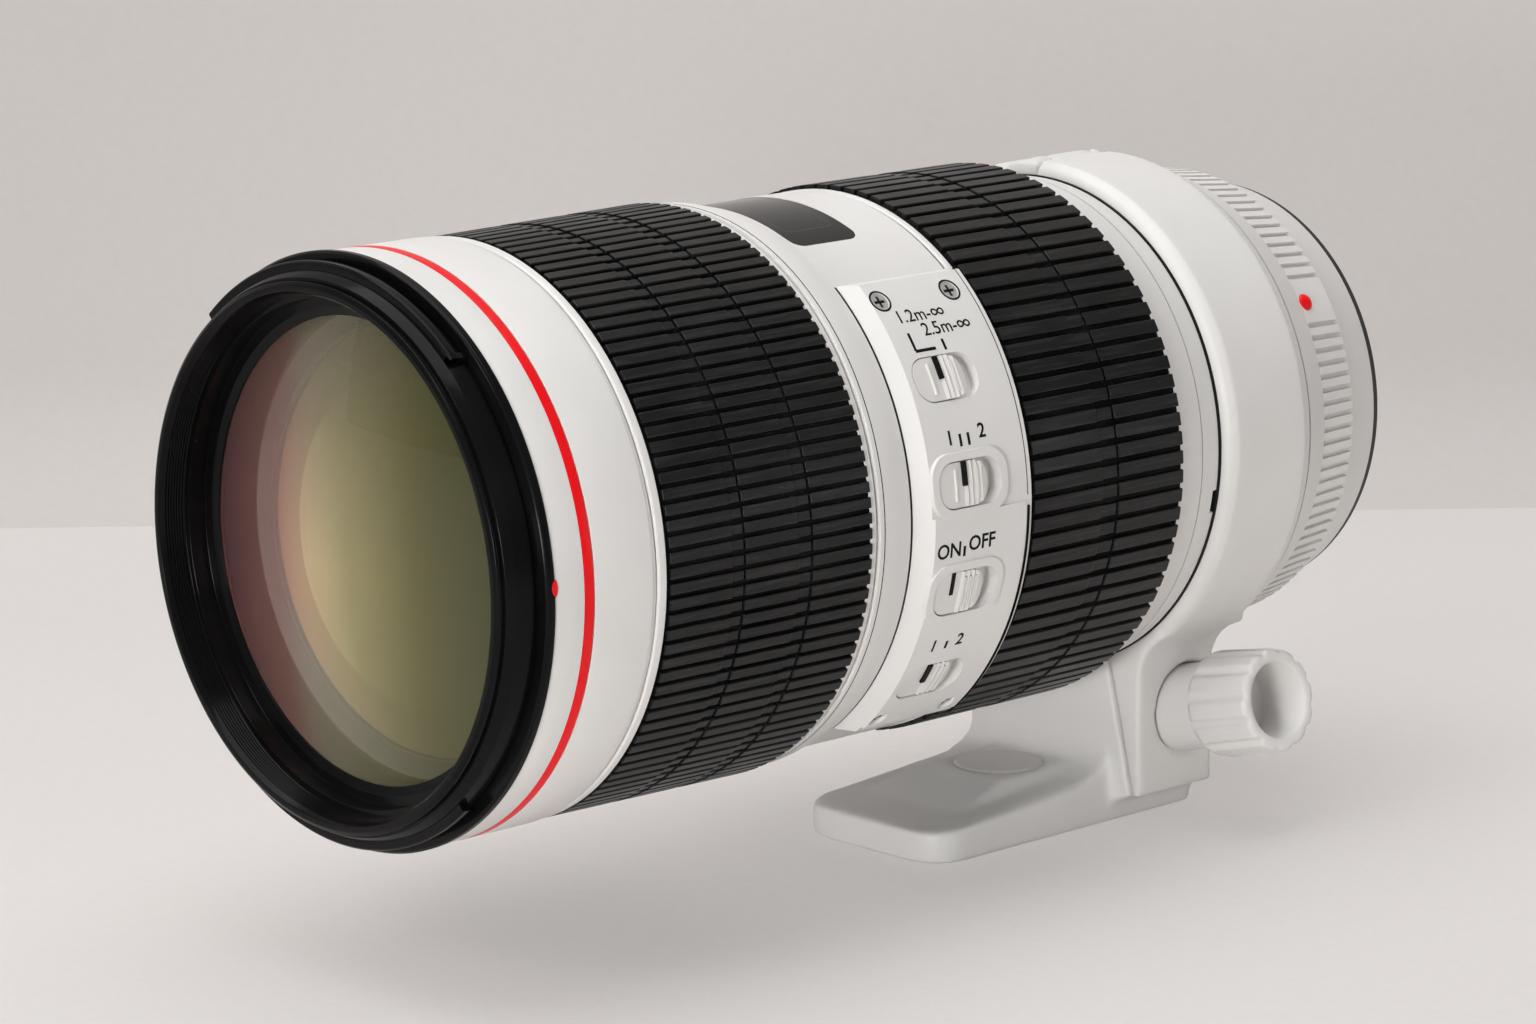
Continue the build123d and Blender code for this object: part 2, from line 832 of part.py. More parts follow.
def make_switch(name):
    """Slider cap with a low nose, a saddle and finger ridges, at the front end of its slot."""
    angle = switch_angles[name]
    lifted = step_height + rim_height if name in raised_rims else step_height
    front = cap_station - cap_length / 2
    floor = slot_floor + slide_gap
    top = floor + cap_height + lifted - step_height
    profile = [(front - overrun, floor), (front - overrun, top - cap_ridge), (front, top - cap_ridge)]
    profile.append((front + cap_length * cap_front_share, top - cap_ridge))
    for share in cap_ridge_shares:
        profile.append((front + cap_length * (share - ridge_half_share), top - cap_ridge))
        profile.append((front + cap_length * share, top))
    profile.append((front + cap_length, top - cap_ridge))
    profile.append((front + cap_length + overrun, top - cap_ridge))
    profile.append((front + cap_length + overrun, floor))
    wave = turned(profile, angle - cap_half_angle, 2 * cap_half_angle)
    shape = block(cap_station, angle, floor - overrun, cap_length, slot_width - 2 * slide_gap,
                  cap_height + 3 * overrun, slot_corner - slide_gap)
    return wave & shape


# Fixed index ring behind the zoom ring
index_step = 0.05       # front of the ring below the zoom ring's tail
index_fall = 0.8
notch_angle = 98.5
notch_sweep = 5.5
notch_width = 1.0
notch_depth = 0.7

index_front_radius = zoom_tail_radius - index_step
index_rear_radius = index_front_radius - index_fall


def make_index_ring():
    ring = turned([
        (index_start, tube_radius),
        (index_start, index_front_radius),
        (index_end, index_rear_radius),
        (index_end, tube_radius),
    ])
    return ring - turned([
        (index_end - notch_width, index_rear_radius - notch_depth),
        (index_end - notch_width, index_front_radius + overrun),
        (index_end + overrun, index_front_radius + overrun),
        (index_end + overrun, index_rear_radius - notch_depth),
    ], notch_angle, notch_sweep)


# Rear barrel: collar seat, shoulder cone, fine ribs and the tail cone
shoulder_step = 2.4     # shoulder above the collar's seat
shoulder_cone = 5.9
shoulder_fall = 2.3
rear_rib_length = 7.9
rear_rib_fall = 0.8
rear_rib_height = 0.6
rear_rib_root = 1.6     # how deep the ribs are cast into the barrel
rear_ribs = 112
rear_rib_gap_share = 0.4
tail_step = 1.3
mount_radius = 32.8     # outside of the bayonet's flange
mount_thickness = 2.6
mount_wall = 1.6
gasket_width = 1.9
baffle_room_depth = 2.6
dot_angle = 59.0
dot_blank = 4.5
dot_lead = 7.3          # red dot behind the shoulder
dot_radius = 1.35
dot_height = 0.8

shoulder_radius = seat_radius + shoulder_step
rear_rib_front = shoulder_radius - shoulder_fall
rear_rib_rear = rear_rib_front - rear_rib_fall
rear_rib_core = rear_rib_rear - rear_rib_root
tail_radius = mount_radius + gasket_width
dot_station = shoulder + dot_lead
rib_zone_start = shoulder + shoulder_cone
rib_zone_end = rib_zone_start + rear_rib_length
mount_front = lens_length - mount_thickness
baffle_room_radius = mount_radius - baffle_room_depth
dot_seat = rear_rib_rear - rear_rib_height


def make_rear_barrel():
    core = turned([
        (index_end, rear_bore_radius),
        (index_end, seat_radius),
        (shoulder, seat_radius),
        (shoulder, shoulder_radius),
        (rib_zone_start, rear_rib_front),
        (rib_zone_start, rear_rib_front - rear_rib_height),
        (rib_zone_end, rear_rib_rear - rear_rib_height),
        (rib_zone_end + tail_step, rear_rib_rear - 2 * rear_rib_height),
        (barrel_end, tail_radius),
        (barrel_end, mount_radius),
        (mount_front, mount_radius),
        (mount_front, baffle_room_radius),
        (mount_front - mount_wall, baffle_room_radius),
        (rib_zone_start, rear_bore_radius),
    ])
    ribs = ribbed(rib_zone_start, rib_zone_end, rear_ribs,
                  rear_rib_front - rear_rib_height, rear_rib_rear - rear_rib_height,
                  rear_rib_height, rear_rib_gap_share, (dot_angle, dot_blank))
    ribs -= turned([
        (rib_zone_start - overrun, 0), (rib_zone_start - overrun, rear_rib_core),
        (rib_zone_end + overrun, rear_rib_core), (rib_zone_end + overrun, 0),
    ])
    pocket = peg(dot_station, dot_angle, dot_seat, shoulder_radius, dot_radius)
    return core + ribs - pocket


def make_mount_dot():
    curve = (dot_radius * dot_radius + dot_height * dot_height) / (2 * dot_height)
    surface = rear_rib_rear
    ball = Rot(X=dot_angle) * Pos(at(dot_station), 0, surface + dot_height - curve) * Sphere(curve)
    base = peg(dot_station, dot_angle, dot_seat, surface, dot_radius)
    dome = ball & peg(dot_station, dot_angle, surface, surface + dot_height + overrun, dot_radius)
    return base + dome


# Bayonet mount and what it carries
bayonet_inset = 7.6     # bayonet tube inside the flange's edge
bayonet_wall = 1.8
bayonet_length = 6.2
bayonet_lug_height = 1.8
bayonet_lug_length = 2.4
bayonet_lug_sweep = 56.0
bayonet_lugs = 3
mount_screw_radius = 1.7
mount_screw_depth = 1.4
mount_screws = 4
gasket_proud = 1.3

bayonet_radius = mount_radius - bayonet_inset
bayonet_bore = bayonet_radius - bayonet_wall
bayonet_lug_radius = bayonet_radius + bayonet_lug_height
mount_screw_circle = (mount_radius + bayonet_radius) / 2

def make_gasket():
    return turned([
        (barrel_end, mount_radius),
        (barrel_end, tail_radius),
        (barrel_end + gasket_proud, tail_radius - edge_break),
        (barrel_end + gasket_proud, mount_radius),
    ])


def make_lens_mount():
    tail = lens_length + bayonet_length
    body = turned([
        (mount_front, bayonet_bore),
        (mount_front, mount_radius),
        (lens_length - edge_break, mount_radius),
        (lens_length, mount_radius - edge_break),
        (lens_length, bayonet_radius),
        (tail - edge_break, bayonet_radius),
        (tail, bayonet_radius - edge_break),
        (tail, bayonet_bore),
    ])
    for index in range(bayonet_lugs):
        start = index * full_turn / bayonet_lugs - bayonet_lug_sweep / 2
        body += turned([
            (tail - edge_break - bayonet_lug_length, bayonet_radius - edge_break),
            (tail - edge_break - bayonet_lug_length, bayonet_lug_radius),
            (tail - edge_break, bayonet_lug_radius),
            (tail - edge_break, bayonet_radius - edge_break),
        ], start, bayonet_lug_sweep)
    for place in mount_screw_places():
        body -= place * Cylinder(mount_screw_radius, 2 * mount_screw_depth)
    return body


def mount_screw_places():
    turn = full_turn / mount_screws
    return [Pos(0, *on_circle(mount_screw_circle, (index + 1 / 2) * turn)) * Rot(Y=90)
            for index in range(mount_screws)]


def make_mount_screws():
    heads = []
    for place in mount_screw_places():
        head = Pos(0, 0, -mount_screw_depth / 2 - slide_gap / 2) * Cylinder(
            mount_screw_radius, mount_screw_depth - slide_gap)
        for turn in (0, 90):
            bar = Box(2 * mount_screw_radius - 2 * cross_width, cross_width, 2 * cross_depth)
            head -= Pos(0, 0, -slide_gap) * Rot(Z=turn) * bar
        heads.append(place * head)
    return Compound(children=heads)


contact_sweep = 66.0
contact_count = 8
contact_thickness = 2.6
contact_proud = 0.5
contact_pin_radius = 0.75
contact_floor = 4.2


def make_contact_block():
    """Insulating block along the bottom of the bayonet with its row of contacts."""
    inner = bayonet_bore - contact_thickness
    rear = lens_length + contact_floor
    middle = full_turn / 2
    block_body = turned([
        (mount_front, inner), (mount_front, bayonet_bore), (rear, bayonet_bore), (rear, inner),
    ], middle - contact_sweep / 2, contact_sweep)
    step = contact_sweep / contact_count
    for index in range(contact_count):
        angle = middle - contact_sweep / 2 + (index + 1 / 2) * step
        y, z = on_circle(inner + contact_thickness / 2, angle)
        block_body += Pos(contact_floor, y, z) * Rot(Y=90) * Cylinder(contact_pin_radius, 2 * contact_proud)
    return block_body


# Rear baffle tube with the last element, a recess as deep as an extender needs
baffle_gap = 0.4        # baffle tube inside the contact block
baffle_wall = 1.6
baffle_length = 16.9    # baffle tube ahead of the mount
baffle_disc = 1.4
rear_glass_rebate = 1.2
rear_glass_inset = 6.0
rear_glass_curve = 90.0
rear_glass_thickness = 4.0
baffle_tail = 3.0

baffle_radius = bayonet_bore - contact_thickness - baffle_gap
baffle_bore = baffle_radius - baffle_wall
baffle_front = mount_front - baffle_length
rear_glass_radius = baffle_bore - rear_glass_rebate
rear_glass_station = baffle_front + rear_glass_inset


def make_rear_baffle():
    seat_end = rear_glass_station + rear_glass_thickness
    return turned([
        (baffle_front, rear_glass_radius),
        (baffle_front, baffle_radius),
        (mount_front - baffle_disc, baffle_radius),
        (mount_front - baffle_disc, baffle_room_radius),
        (mount_front, baffle_room_radius),
        (mount_front, baffle_radius),
        (lens_length + baffle_tail, baffle_radius),
        (lens_length + baffle_tail, baffle_bore),
        (seat_end, baffle_bore),
        (seat_end, rear_glass_radius - cell_lip),
        (seat_end - cell_lip, rear_glass_radius - cell_lip),
        (seat_end - cell_lip, rear_glass_radius),
    ])


def make_rear_glass():
    rear = rear_glass_station + rear_glass_thickness - cell_lip
    front = rear - rear_glass_thickness - sag(rear_glass_curve, rear_glass_radius)
    rear_vertex = rear - sag(flatter_curve, rear_glass_radius)
    return lens_element(front, rear_vertex, rear_glass_radius, rear_glass_curve, flatter_curve)


# Diaphragm: a plate with a rim, eight blades on pivots and the ring that drives them
blade_count = 8
plate_thickness = 1.2
diaphragm_opening = 15.4
diaphragm_wall = 1.4
ring_lip = 0.9          # lip that keeps the drive ring in its plate
flange_thickness = 1.2
blade_inset = 0.2       # inner edge of an open blade behind the opening's edge
blade_width = 2.8
pivot_stand = 1.5       # pivots outside the blades' crescents
root_wall = 0.7
swing_room = 2.0        # room outside the blade roots
blade_sweep = 78.0
blade_root_sweep = 22.0
blade_heel = 5.0
blade_thickness = 0.14
blade_pitch = 0.27
blade_turn = 28.0
drive_turn = 22.0
pivot_pin = 0.5
pivot_play = 0.07
drive_pin_angle = 16.0
drive_slot_play = 0.14
drive_ring_thickness = 1.2
drive_ring_inset = 0.3  # drive ring's bore outside the blades' inner edge

blade_inner = diaphragm_opening + blade_inset
blade_outer = blade_inner + blade_width
pivot_radius = blade_outer + pivot_stand
blade_root_outer = pivot_radius + root_wall
diaphragm_rim_bore = blade_root_outer + swing_room
diaphragm_rim_radius = diaphragm_rim_bore + diaphragm_wall
drive_ring_bore = blade_inner + drive_ring_inset
blade_start = diaphragm_front + plate_thickness + seam
drive_ring_front = blade_start + blade_count * blade_pitch + seam
drive_ring_rear = drive_ring_front + drive_ring_thickness


def pivot_angle(index):
    return index * full_turn / blade_count


def make_diaphragm_plate():
    plate = turned([
        (diaphragm_front, diaphragm_opening),
        (diaphragm_front, diaphragm_rim_radius),
        (index_end - flange_thickness, diaphragm_rim_radius),
        (index_end - flange_thickness, tube_bore),
        (index_end, tube_bore),
        (index_end, diaphragm_rim_bore - ring_lip),
        (drive_ring_rear + seam, diaphragm_rim_bore - ring_lip),
        (drive_ring_rear + seam, diaphragm_rim_bore),
        (diaphragm_front + plate_thickness, diaphragm_rim_bore),
        (diaphragm_front + plate_thickness, diaphragm_opening),
    ])
    for index in range(blade_count):
        y, z = on_circle(pivot_radius, pivot_angle(index))
        hole = Pos(at(diaphragm_front + plate_thickness), y, z) * Rot(Y=90) * Cylinder(
            pivot_pin + pivot_play, plate_thickness)
        plate -= hole
    return plate


def pin_path(share, index):
    """Place of a blade's drive pin on the ring, with this share of the travel done."""
    py, pz = on_circle(pivot_radius, pivot_angle(index))
    dy, dz = on_circle(pivot_radius, pivot_angle(index) + drive_pin_angle)
    swing = radians(blade_turn * share)
    y = py + (dy - py) * cos(swing) - (dz - pz) * sin(swing)
    z = pz + (dy - py) * sin(swing) + (dz - pz) * cos(swing)
    back = radians(-drive_turn * share)
    return y * cos(back) - z * sin(back), y * sin(back) + z * cos(back)


def make_diaphragm_ring():
    ring = turned([
        (drive_ring_front, drive_ring_bore),
        (drive_ring_front, diaphragm_rim_bore - running),
        (drive_ring_rear, diaphragm_rim_bore - running),
        (drive_ring_rear, drive_ring_bore),
    ])
    for index in range(blade_count):
        start, middle, end = [pin_path(share, index) for share in (0, 1 / 2, 1)]
        track = SlotArc(ThreePointArc(start, middle, end), 2 * (pivot_pin + drive_slot_play))
        plane = Plane(origin=(at(drive_ring_front - overrun), 0, 0), x_dir=(0, 1, 0), z_dir=(1, 0, 0))
        ring -= extrude(plane * track, drive_ring_thickness + 2 * overrun)
    return ring


def make_blade(index):
    """Thin crescent on its own level of the stack, with a pivot pin and a drive pin."""
    level = blade_start + index * blade_pitch
    top = level + blade_thickness
    angle = pivot_angle(index)
    root = turned([
        (level, blade_inner), (level, blade_root_outer), (top, blade_root_outer), (top, blade_inner),
    ], angle - blade_heel, blade_heel + blade_root_sweep)
    tongue = turned([
        (level, blade_inner), (level, blade_outer), (top, blade_outer), (top, blade_inner),
    ], angle, blade_sweep)
    pivot_start = diaphragm_front + plate_thickness / 2 + pivot_play
    pivot = Pos(at((pivot_start + top) / 2), *on_circle(pivot_radius, angle)) * Rot(Y=90) * Cylinder(
        pivot_pin, top - pivot_start)
    drive = Pos(at((level + drive_ring_rear) / 2), *on_circle(pivot_radius, angle + drive_pin_angle)) * Rot(
        Y=90) * Cylinder(pivot_pin, drive_ring_rear - level)
    return root + tongue + pivot + drive


# Stabiliser: a frame, a slider that shifts up and down, and a cell that shifts sideways on it
shift = 1.0
frame_inset = 2.6       # frame behind the front of the rear barrel
frame_thickness = 2.0
stage_gap = 0.5
slider_thickness = 3.0
rod_stand = 7.6         # guide rods inside the barrel's bore
slider_stand = 3.0      # edge of the slider inside the rods
slider_width = 5.0
rod_radius = 1.0
rod_half_length = 9.0
ear_half_length = 4.0
ear_width = 3.2
post_length = 2.0
stabilizer_glass_step = 3.0
stabilizer_glass_curve = 110.0
cell_rim = 2.6

rod_offset = rear_bore_radius - rod_stand
slider_radius = rod_offset - slider_stand
stage_opening = slider_radius - slider_width
stabilizer_glass_radius = stage_opening - stabilizer_glass_step
cell_rim_radius = stabilizer_glass_radius + cell_rim
frame_front = index_end + frame_inset
slider_front = frame_front + frame_thickness + stage_gap
slider_rear = slider_front + slider_thickness
moving_front = slider_rear + stage_gap
moving_rear = moving_front + slider_thickness


def rods_along(direction, station, carrier_station, bridge):
    """Two guide rods with end posts. Direction 0 lays them along Z and 90 along Y."""
    parts = []
    reach = abs(station - carrier_station)
    for side in (-1, 1):
        rod = Pos(at(station), side * rod_offset, 0) * Cylinder(rod_radius, 2 * rod_half_length)
        parts.append(Rot(X=direction) * rod)
        for end in (-1, 1):
            z = end * (rod_half_length - post_length / 2)
            middle = (station + carrier_station) / 2
            post = Pos(at(middle), side * rod_offset, z) * Box(
                reach + 2 * rod_radius, bridge, post_length)
            parts.append(Rot(X=direction) * post)
    return parts


def ears(direction, station, inner):
    """Two ears that reach out to the guide rods, bored to run on them."""
    parts = []
    for side in (-1, 1):
        reach = rod_offset + ear_width / 2 - inner
        ear = Pos(at(station), side * (inner + reach / 2), 0) * Box(slider_thickness, reach, 2 * ear_half_length)
        ear -= Pos(at(station), side * rod_offset, 0) * Cylinder(
            rod_radius + running, 2 * ear_half_length + overrun)
        parts.append(Rot(X=direction) * ear)
    return parts


def make_stabilizer_frame():
    frame = turned([
        (frame_front, stage_opening), (frame_front, rear_bore_radius),
        (frame_front + frame_thickness, rear_bore_radius),
        (frame_front + frame_thickness, stage_opening),
    ])
    station = (slider_front + slider_rear) / 2
    for part in rods_along(0, station, frame_front + frame_thickness, ear_width):
        frame += part
    return frame


def make_stabilizer_slider():
    station = (slider_front + slider_rear) / 2
    slider = turned([
        (slider_front, stage_opening), (slider_front, slider_radius),
        (slider_rear, slider_radius), (slider_rear, stage_opening),
    ])
    for part in ears(0, station, stage_opening + overrun):
        slider += part
    upper = (moving_front + moving_rear) / 2
    for side in (-1, 1):
        for end in (-1, 1):
            y = end * (rod_half_length - post_length / 2)
            arm = Pos(at((slider_front + upper + rod_radius) / 2), y, side * (rod_offset - ear_width)) * Box(
                upper + rod_radius - slider_front, post_length, 2 * ear_width + 2 * rod_radius)
            slider += arm
    for side in (-1, 1):
        slider += Rot(X=90) * Pos(at(upper), side * rod_offset, 0) * Cylinder(
            rod_radius, 2 * rod_half_length)
    return slider


def make_stabilizer_cell():
    station = (moving_front + moving_rear) / 2
    cell = turned([
        (moving_front, stabilizer_glass_radius), (moving_front, cell_rim_radius),
        (moving_rear, cell_rim_radius), (moving_rear, stabilizer_glass_radius - cell_lip),
        (moving_rear - cell_lip / 2, stabilizer_glass_radius - cell_lip),
        (moving_rear - cell_lip / 2, stabilizer_glass_radius),
    ])
    for part in ears(90, station, stabilizer_glass_radius + overrun):
        cell += part
    return cell


def make_stabilizer_glass():
    rear = moving_rear - cell_lip / 2 - sag(flatter_curve, stabilizer_glass_radius)
    front = moving_front - sag(stabilizer_glass_curve, stabilizer_glass_radius) + cell_lip / 2
    return lens_element(front, rear, stabilizer_glass_radius, stabilizer_glass_curve, flatter_curve)


# Tripod collar. The near half opens on a pin at the top when the knob is drawn out.
knob_tilt = 13.2        # degrees that the clamp screw points up from level
knob_offset = 1.85      # knob behind the middle of the collar
knob_drop_below = 4.1   # screw axis at the lug's face, below the collar
lug_stand = 6.6         # face of the clamp lug outside the neck
lug_thickness = 4.9
lug_foot_gap = 5.2      # lug above the table
split_gap = 0.4
neck_half_width = 16.0
foot_ledge = 0.3        # foot plate wider than the neck, each side
hinge_depth = 1.4       # hinge pin below the collar's surface
hinge_pin_radius = 0.9
knuckle_radius = 1.9
knuckle_share = 0.27
collar_round = 2.2
round_share = 0.3       # where the rounded edge passes between its two ends
crease_length = 3.4
crease_depth = 1.2
neck_fillet = 9.0
lug_fillet = 8.0
lug_rear_step = 2.6      # back of the clamp lug, ahead of the collar's rear edge
neck_edge = 1.8
screw_radius = 2.5
screw_tip_radius = 2.0
screw_lead = 3.4        # depth of the thinner lead end of the screw
neck_hole_radius = 2.7
screw_depth = 8.0       # screw inside the neck
bush_radius = 7.1
bush_sink = 2.6
bush_out = 7.2
recess_radius = 7.5

knob_station = collar_length / 2 + knob_offset
knob_drop = collar_radius + knob_drop_below
lug_face = neck_half_width + lug_stand
lug_bottom = foot_height - lug_foot_gap
foot_half_width = neck_half_width + foot_ledge
hinge_radius = collar_radius - hinge_depth
tilt = radians(knob_tilt)
out_y, out_z = -cos(tilt), sin(tilt)
up_y, up_z = sin(tilt), cos(tilt)
knob_x = at(collar_start + knob_station)
split_y = -lug_face - out_y * lug_thickness
split_z = -knob_drop - out_z * lug_thickness
# The pin lies where the clamp screw is square to the line from the pin, so the band
# can swing open along the screw
swing = -(split_y * up_y + split_z * up_z) + sqrt(
    (split_y * up_y + split_z * up_z) ** 2 - split_y ** 2 - split_z ** 2 + hinge_radius ** 2)
hinge_y = split_y + swing * up_y
hinge_z = split_z + swing * up_z


def along_screw(distance):
    """Place on the clamp screw's axis, measured outwards from the lug face."""
    return Pos(knob_x, -lug_face + distance * out_y, -knob_drop + distance * out_z) * Rot(X=90 - knob_tilt)


def screw_cylinder(radius, inner, outer):
    """Cylinder round the clamp screw's axis between two distances from the lug face."""
    return along_screw((inner + outer) / 2) * Cylinder(radius, outer - inner)


def yz_solid(outline, front, rear):
    """Closed outline of (y, z) points pushed along the lens between two stations."""
    plane = Plane(origin=(at(front), 0, 0), x_dir=(0, 1, 0), z_dir=(1, 0, 0))
    return extrude(plane * outline, rear - front)


plate_rear_thickness = 8.4
plate_front_thickness = 5.4
lug_foot_drop = 2.0


def collar_outline():
    """Ring, neck and clamp lug seen from the front, as one closed outline."""
    neck = Polygon(
        (neck_half_width, -foot_height + plate_front_thickness),
        (neck_half_width, -hinge_radius / 2),
        (-lug_face, -hinge_radius / 2),
        (-lug_face, -lug_bottom),
        (split_y + (lug_bottom + split_z) * -up_y / up_z, -lug_bottom),
        (-foot_half_width, -lug_bottom - lug_foot_drop),
        (-foot_half_width, -foot_height + plate_front_thickness / 2),
        (0, -foot_height + plate_front_thickness / 2),
        align=None)
    outline = Circle(collar_radius) + neck
    corners = outline.vertices()

    def nearest(y, z):
        return min(corners, key=lambda v: hypot(v.X - y, v.Y - z))

    far_z = -sqrt(collar_radius ** 2 - neck_half_width ** 2)
    near_z = -sqrt(collar_radius ** 2 - lug_face ** 2)
    outline = fillet(nearest(neck_half_width, far_z), neck_fillet)
    corners = outline.vertices()
    return fillet(nearest(-lug_face, near_z), lug_fillet)


def collar_body():
    """The closed collar before it is split into foot and band."""
    body = yz_solid(collar_outline(), collar_start, collar_end)
    ring = turned([
        (collar_start, 0),
        (collar_start, collar_radius - collar_round),
        (collar_start + collar_round * round_share, collar_radius - collar_round * round_share),
        (collar_start + collar_round, collar_radius),
        (collar_end - crease_length, collar_radius),
        (collar_end, collar_radius - crease_depth),
        (collar_end, 0),
    ])
    below = Pos(at(collar_start + collar_length / 2), 0, -hinge_radius * 2 + neck_fillet) * Box(
        2 * collar_length, 4 * collar_radius, 2 * hinge_radius)
    body = body & (ring + below)
    body += hinge_cylinder(knuckle_radius, knuckle_start, knuckle_end)
    body -= Pos(at(collar_start + collar_length / 2), 0, 0) * Rot(Y=90) * Cylinder(
        collar_bore, collar_length + 2 * overrun)
    return body


def band_region(front, rear):
    """Everything on the near side of the hinge and of the inclined split."""
    reach = 2 * foot_height
    outline = Polygon(
        (0, 0),
        (hinge_y * 2, hinge_z * 2),
        (-reach, hinge_z * 2),
        (-reach, -reach),
        (split_y - up_y * reach, split_z - up_z * reach),
        (split_y + up_y * neck_fillet * 2, split_z + up_z * neck_fillet * 2),
        align=None)
    return yz_solid(outline, front, rear)


def split_slab():
    """Thin gap along the inclined split of the lug."""
    slab = Box(collar_length + 2 * overrun, split_gap, lug_bottom)
    return Pos(at(collar_start + collar_length / 2), split_y, split_z) * Rot(X=-knob_tilt) * slab


def hinge_cylinder(radius, front, rear):
    return Pos(at((front + rear) / 2), hinge_y, hinge_z) * Rot(Y=90) * Cylinder(radius, rear - front)


band_knuckle_start = collar_start + collar_length * knuckle_share
band_knuckle_end = collar_end - collar_length * knuckle_share
knuckle_start = collar_start + collar_round
knuckle_end = collar_end - crease_length
knuckle_clear = knuckle_radius + seam


def hinge_wall_slab():
    """Gap in the collar wall over the pin."""
    slab = Box(collar_length + 2 * overrun, split_gap, 4 * knuckle_radius)
    lean = degrees(atan2(hinge_y, hinge_z))
    return Pos(at(collar_start + collar_length / 2), hinge_y, hinge_z) * Rot(X=-lean) * slab


# Foot plate
foot_corner = 8.0
foot_corner_round = 3.5
neck_root = 5.0         # hollow between the neck's front face and the plate
foot_rear_corner = 2.0
top_round = 2.0
saddle_half_width = 10.5
saddle_top = 9.4        # top of the saddle above the table
saddle_front_inset = 7.0
saddle_slope = 15.0
cap_radius = 7.3
cap_thickness = 1.0
cap_back = 9.6          # tripod socket in front of the collar
bushing_radius = 6.0
socket_radius = 3.175   # 1/4 inch tripod thread
cap_play = 0.08

foot_front = collar_start - foot_reach
socket_station = collar_start - cap_back


def make_plate():
    """Foot plate: a wedge seen from the side, with rounded corners seen from above."""
    bottom = -foot_height
    side = Polygon(
        (at(foot_front), bottom),
        (at(foot_front), bottom + plate_front_thickness),
        (at(collar_start), bottom + plate_rear_thickness),
        (at(collar_end), bottom + plate_rear_thickness),
        (at(collar_end), bottom),
        align=None)
    wedge = extrude(Plane.XZ * side, foot_half_width, both=True)
    length = collar_end - foot_front
    outline = Rectangle(length, 2 * foot_half_width)
    front_corners = outline.vertices().sort_by(Axis.X)[:2]
    outline = chamfer(front_corners, foot_corner)
    outline = fillet(outline.vertices().sort_by(Axis.X)[:4], foot_corner_round)
    rear_corners = outline.vertices().sort_by(Axis.X)[-2:]
    outline = fillet(rear_corners, foot_rear_corner)
    column = Pos(at((foot_front + collar_end) / 2), 0, bottom) * extrude(outline, 2 * plate_rear_thickness)
    plate = wedge & column
    top = plate.edges().filter_by(lambda e: e.center().Z > bottom + plate_front_thickness - edge_break)
    rim = [e for e in top if min(abs((e @ 0).Z - bottom), abs((e @ 1).Z - bottom)) > edge_break]
    return fillet([e for e in rim if not is_crest(e)], top_round)


def is_crest(edge):
    """The straight line across the plate where its slope ends."""
    return abs((edge @ 0).X - at(collar_start)) < edge_break and abs((edge @ 1).X - at(collar_start)) < edge_break


def make_saddle():
    """Raised middle of the foot that carries the cap over the tripod socket."""
    bottom = -foot_height
    side = Polygon(
        (at(foot_front + saddle_front_inset), bottom + plate_front_thickness / 2),
        (at(foot_front + saddle_front_inset), bottom + plate_front_thickness),
        (at(foot_front + saddle_front_inset + saddle_slope), bottom + saddle_top),
        (at(collar_start + overrun), bottom + saddle_top),
        (at(collar_start + overrun), bottom + plate_front_thickness / 2),
        align=None)
    saddle = extrude(Plane.XZ * side, saddle_half_width, both=True)
    ridge = [e for e in saddle.edges().filter_by(Axis.X) if e.center().Z > bottom + plate_front_thickness]
    return chamfer(ridge, (saddle_top - plate_rear_thickness) + cap_thickness)


def make_neck_root():
    """Hollow corner that the neck's front face runs down into."""
    floor = -foot_height + plate_rear_thickness
    width = 2 * neck_half_width
    corner = Box(neck_root + overrun, width, neck_root + overrun,
                 align=(Align.MAX, Align.CENTER, Align.MIN))
    hollow = Rot(X=90) * Cylinder(neck_root, 2 * width)
    place = Pos(at(collar_start) + overrun, 0, floor - overrun)
    return place * corner - Pos(at(collar_start) - neck_root, 0, floor + neck_root) * hollow


def make_collar_foot():
    body = collar_body() - band_region(collar_start - overrun, collar_end + overrun)
    body -= split_slab()
    body -= hinge_wall_slab()
    body += hinge_cylinder(knuckle_radius, knuckle_start, band_knuckle_start - seam)
    body += hinge_cylinder(knuckle_radius, band_knuckle_end + seam, knuckle_end)
    body -= hinge_cylinder(knuckle_clear, band_knuckle_start - seam, band_knuckle_end + seam)
    body -= hinge_cylinder(hinge_pin_radius, collar_start - overrun, collar_end + overrun)
    body += make_plate()
    body += make_saddle()
    body += make_neck_root()
    deep = -lug_thickness - screw_depth - seam
    body -= screw_cylinder(neck_hole_radius, deep, -lug_thickness + overrun)
    top = -foot_height + saddle_top
    at_socket = Pos(at(socket_station), 0, 0)
    body -= at_socket * Pos(0, 0, top - cap_thickness / 2) * Cylinder(cap_radius + cap_play, cap_thickness)
    body -= at_socket * Pos(0, 0, -foot_height) * Cylinder(
        bushing_radius, saddle_top - cap_thickness, align=(Align.CENTER, Align.CENTER, Align.MIN))
    return body


def make_foot_cap():
    top = -foot_height + saddle_top
    cap = Pos(at(socket_station), 0, top - cap_thickness / 2) * Cylinder(cap_radius, cap_thickness)
    return chamfer(cap.edges().group_by(Axis.Z)[-1], edge_break)


def make_tripod_bushing():
    place = Pos(at(socket_station), 0, -foot_height)
    low = (Align.CENTER, Align.CENTER, Align.MIN)
    body = Cylinder(bushing_radius, saddle_top - cap_thickness, align=low)
    return place * (body - Cylinder(socket_radius, saddle_top - cap_thickness, align=low))


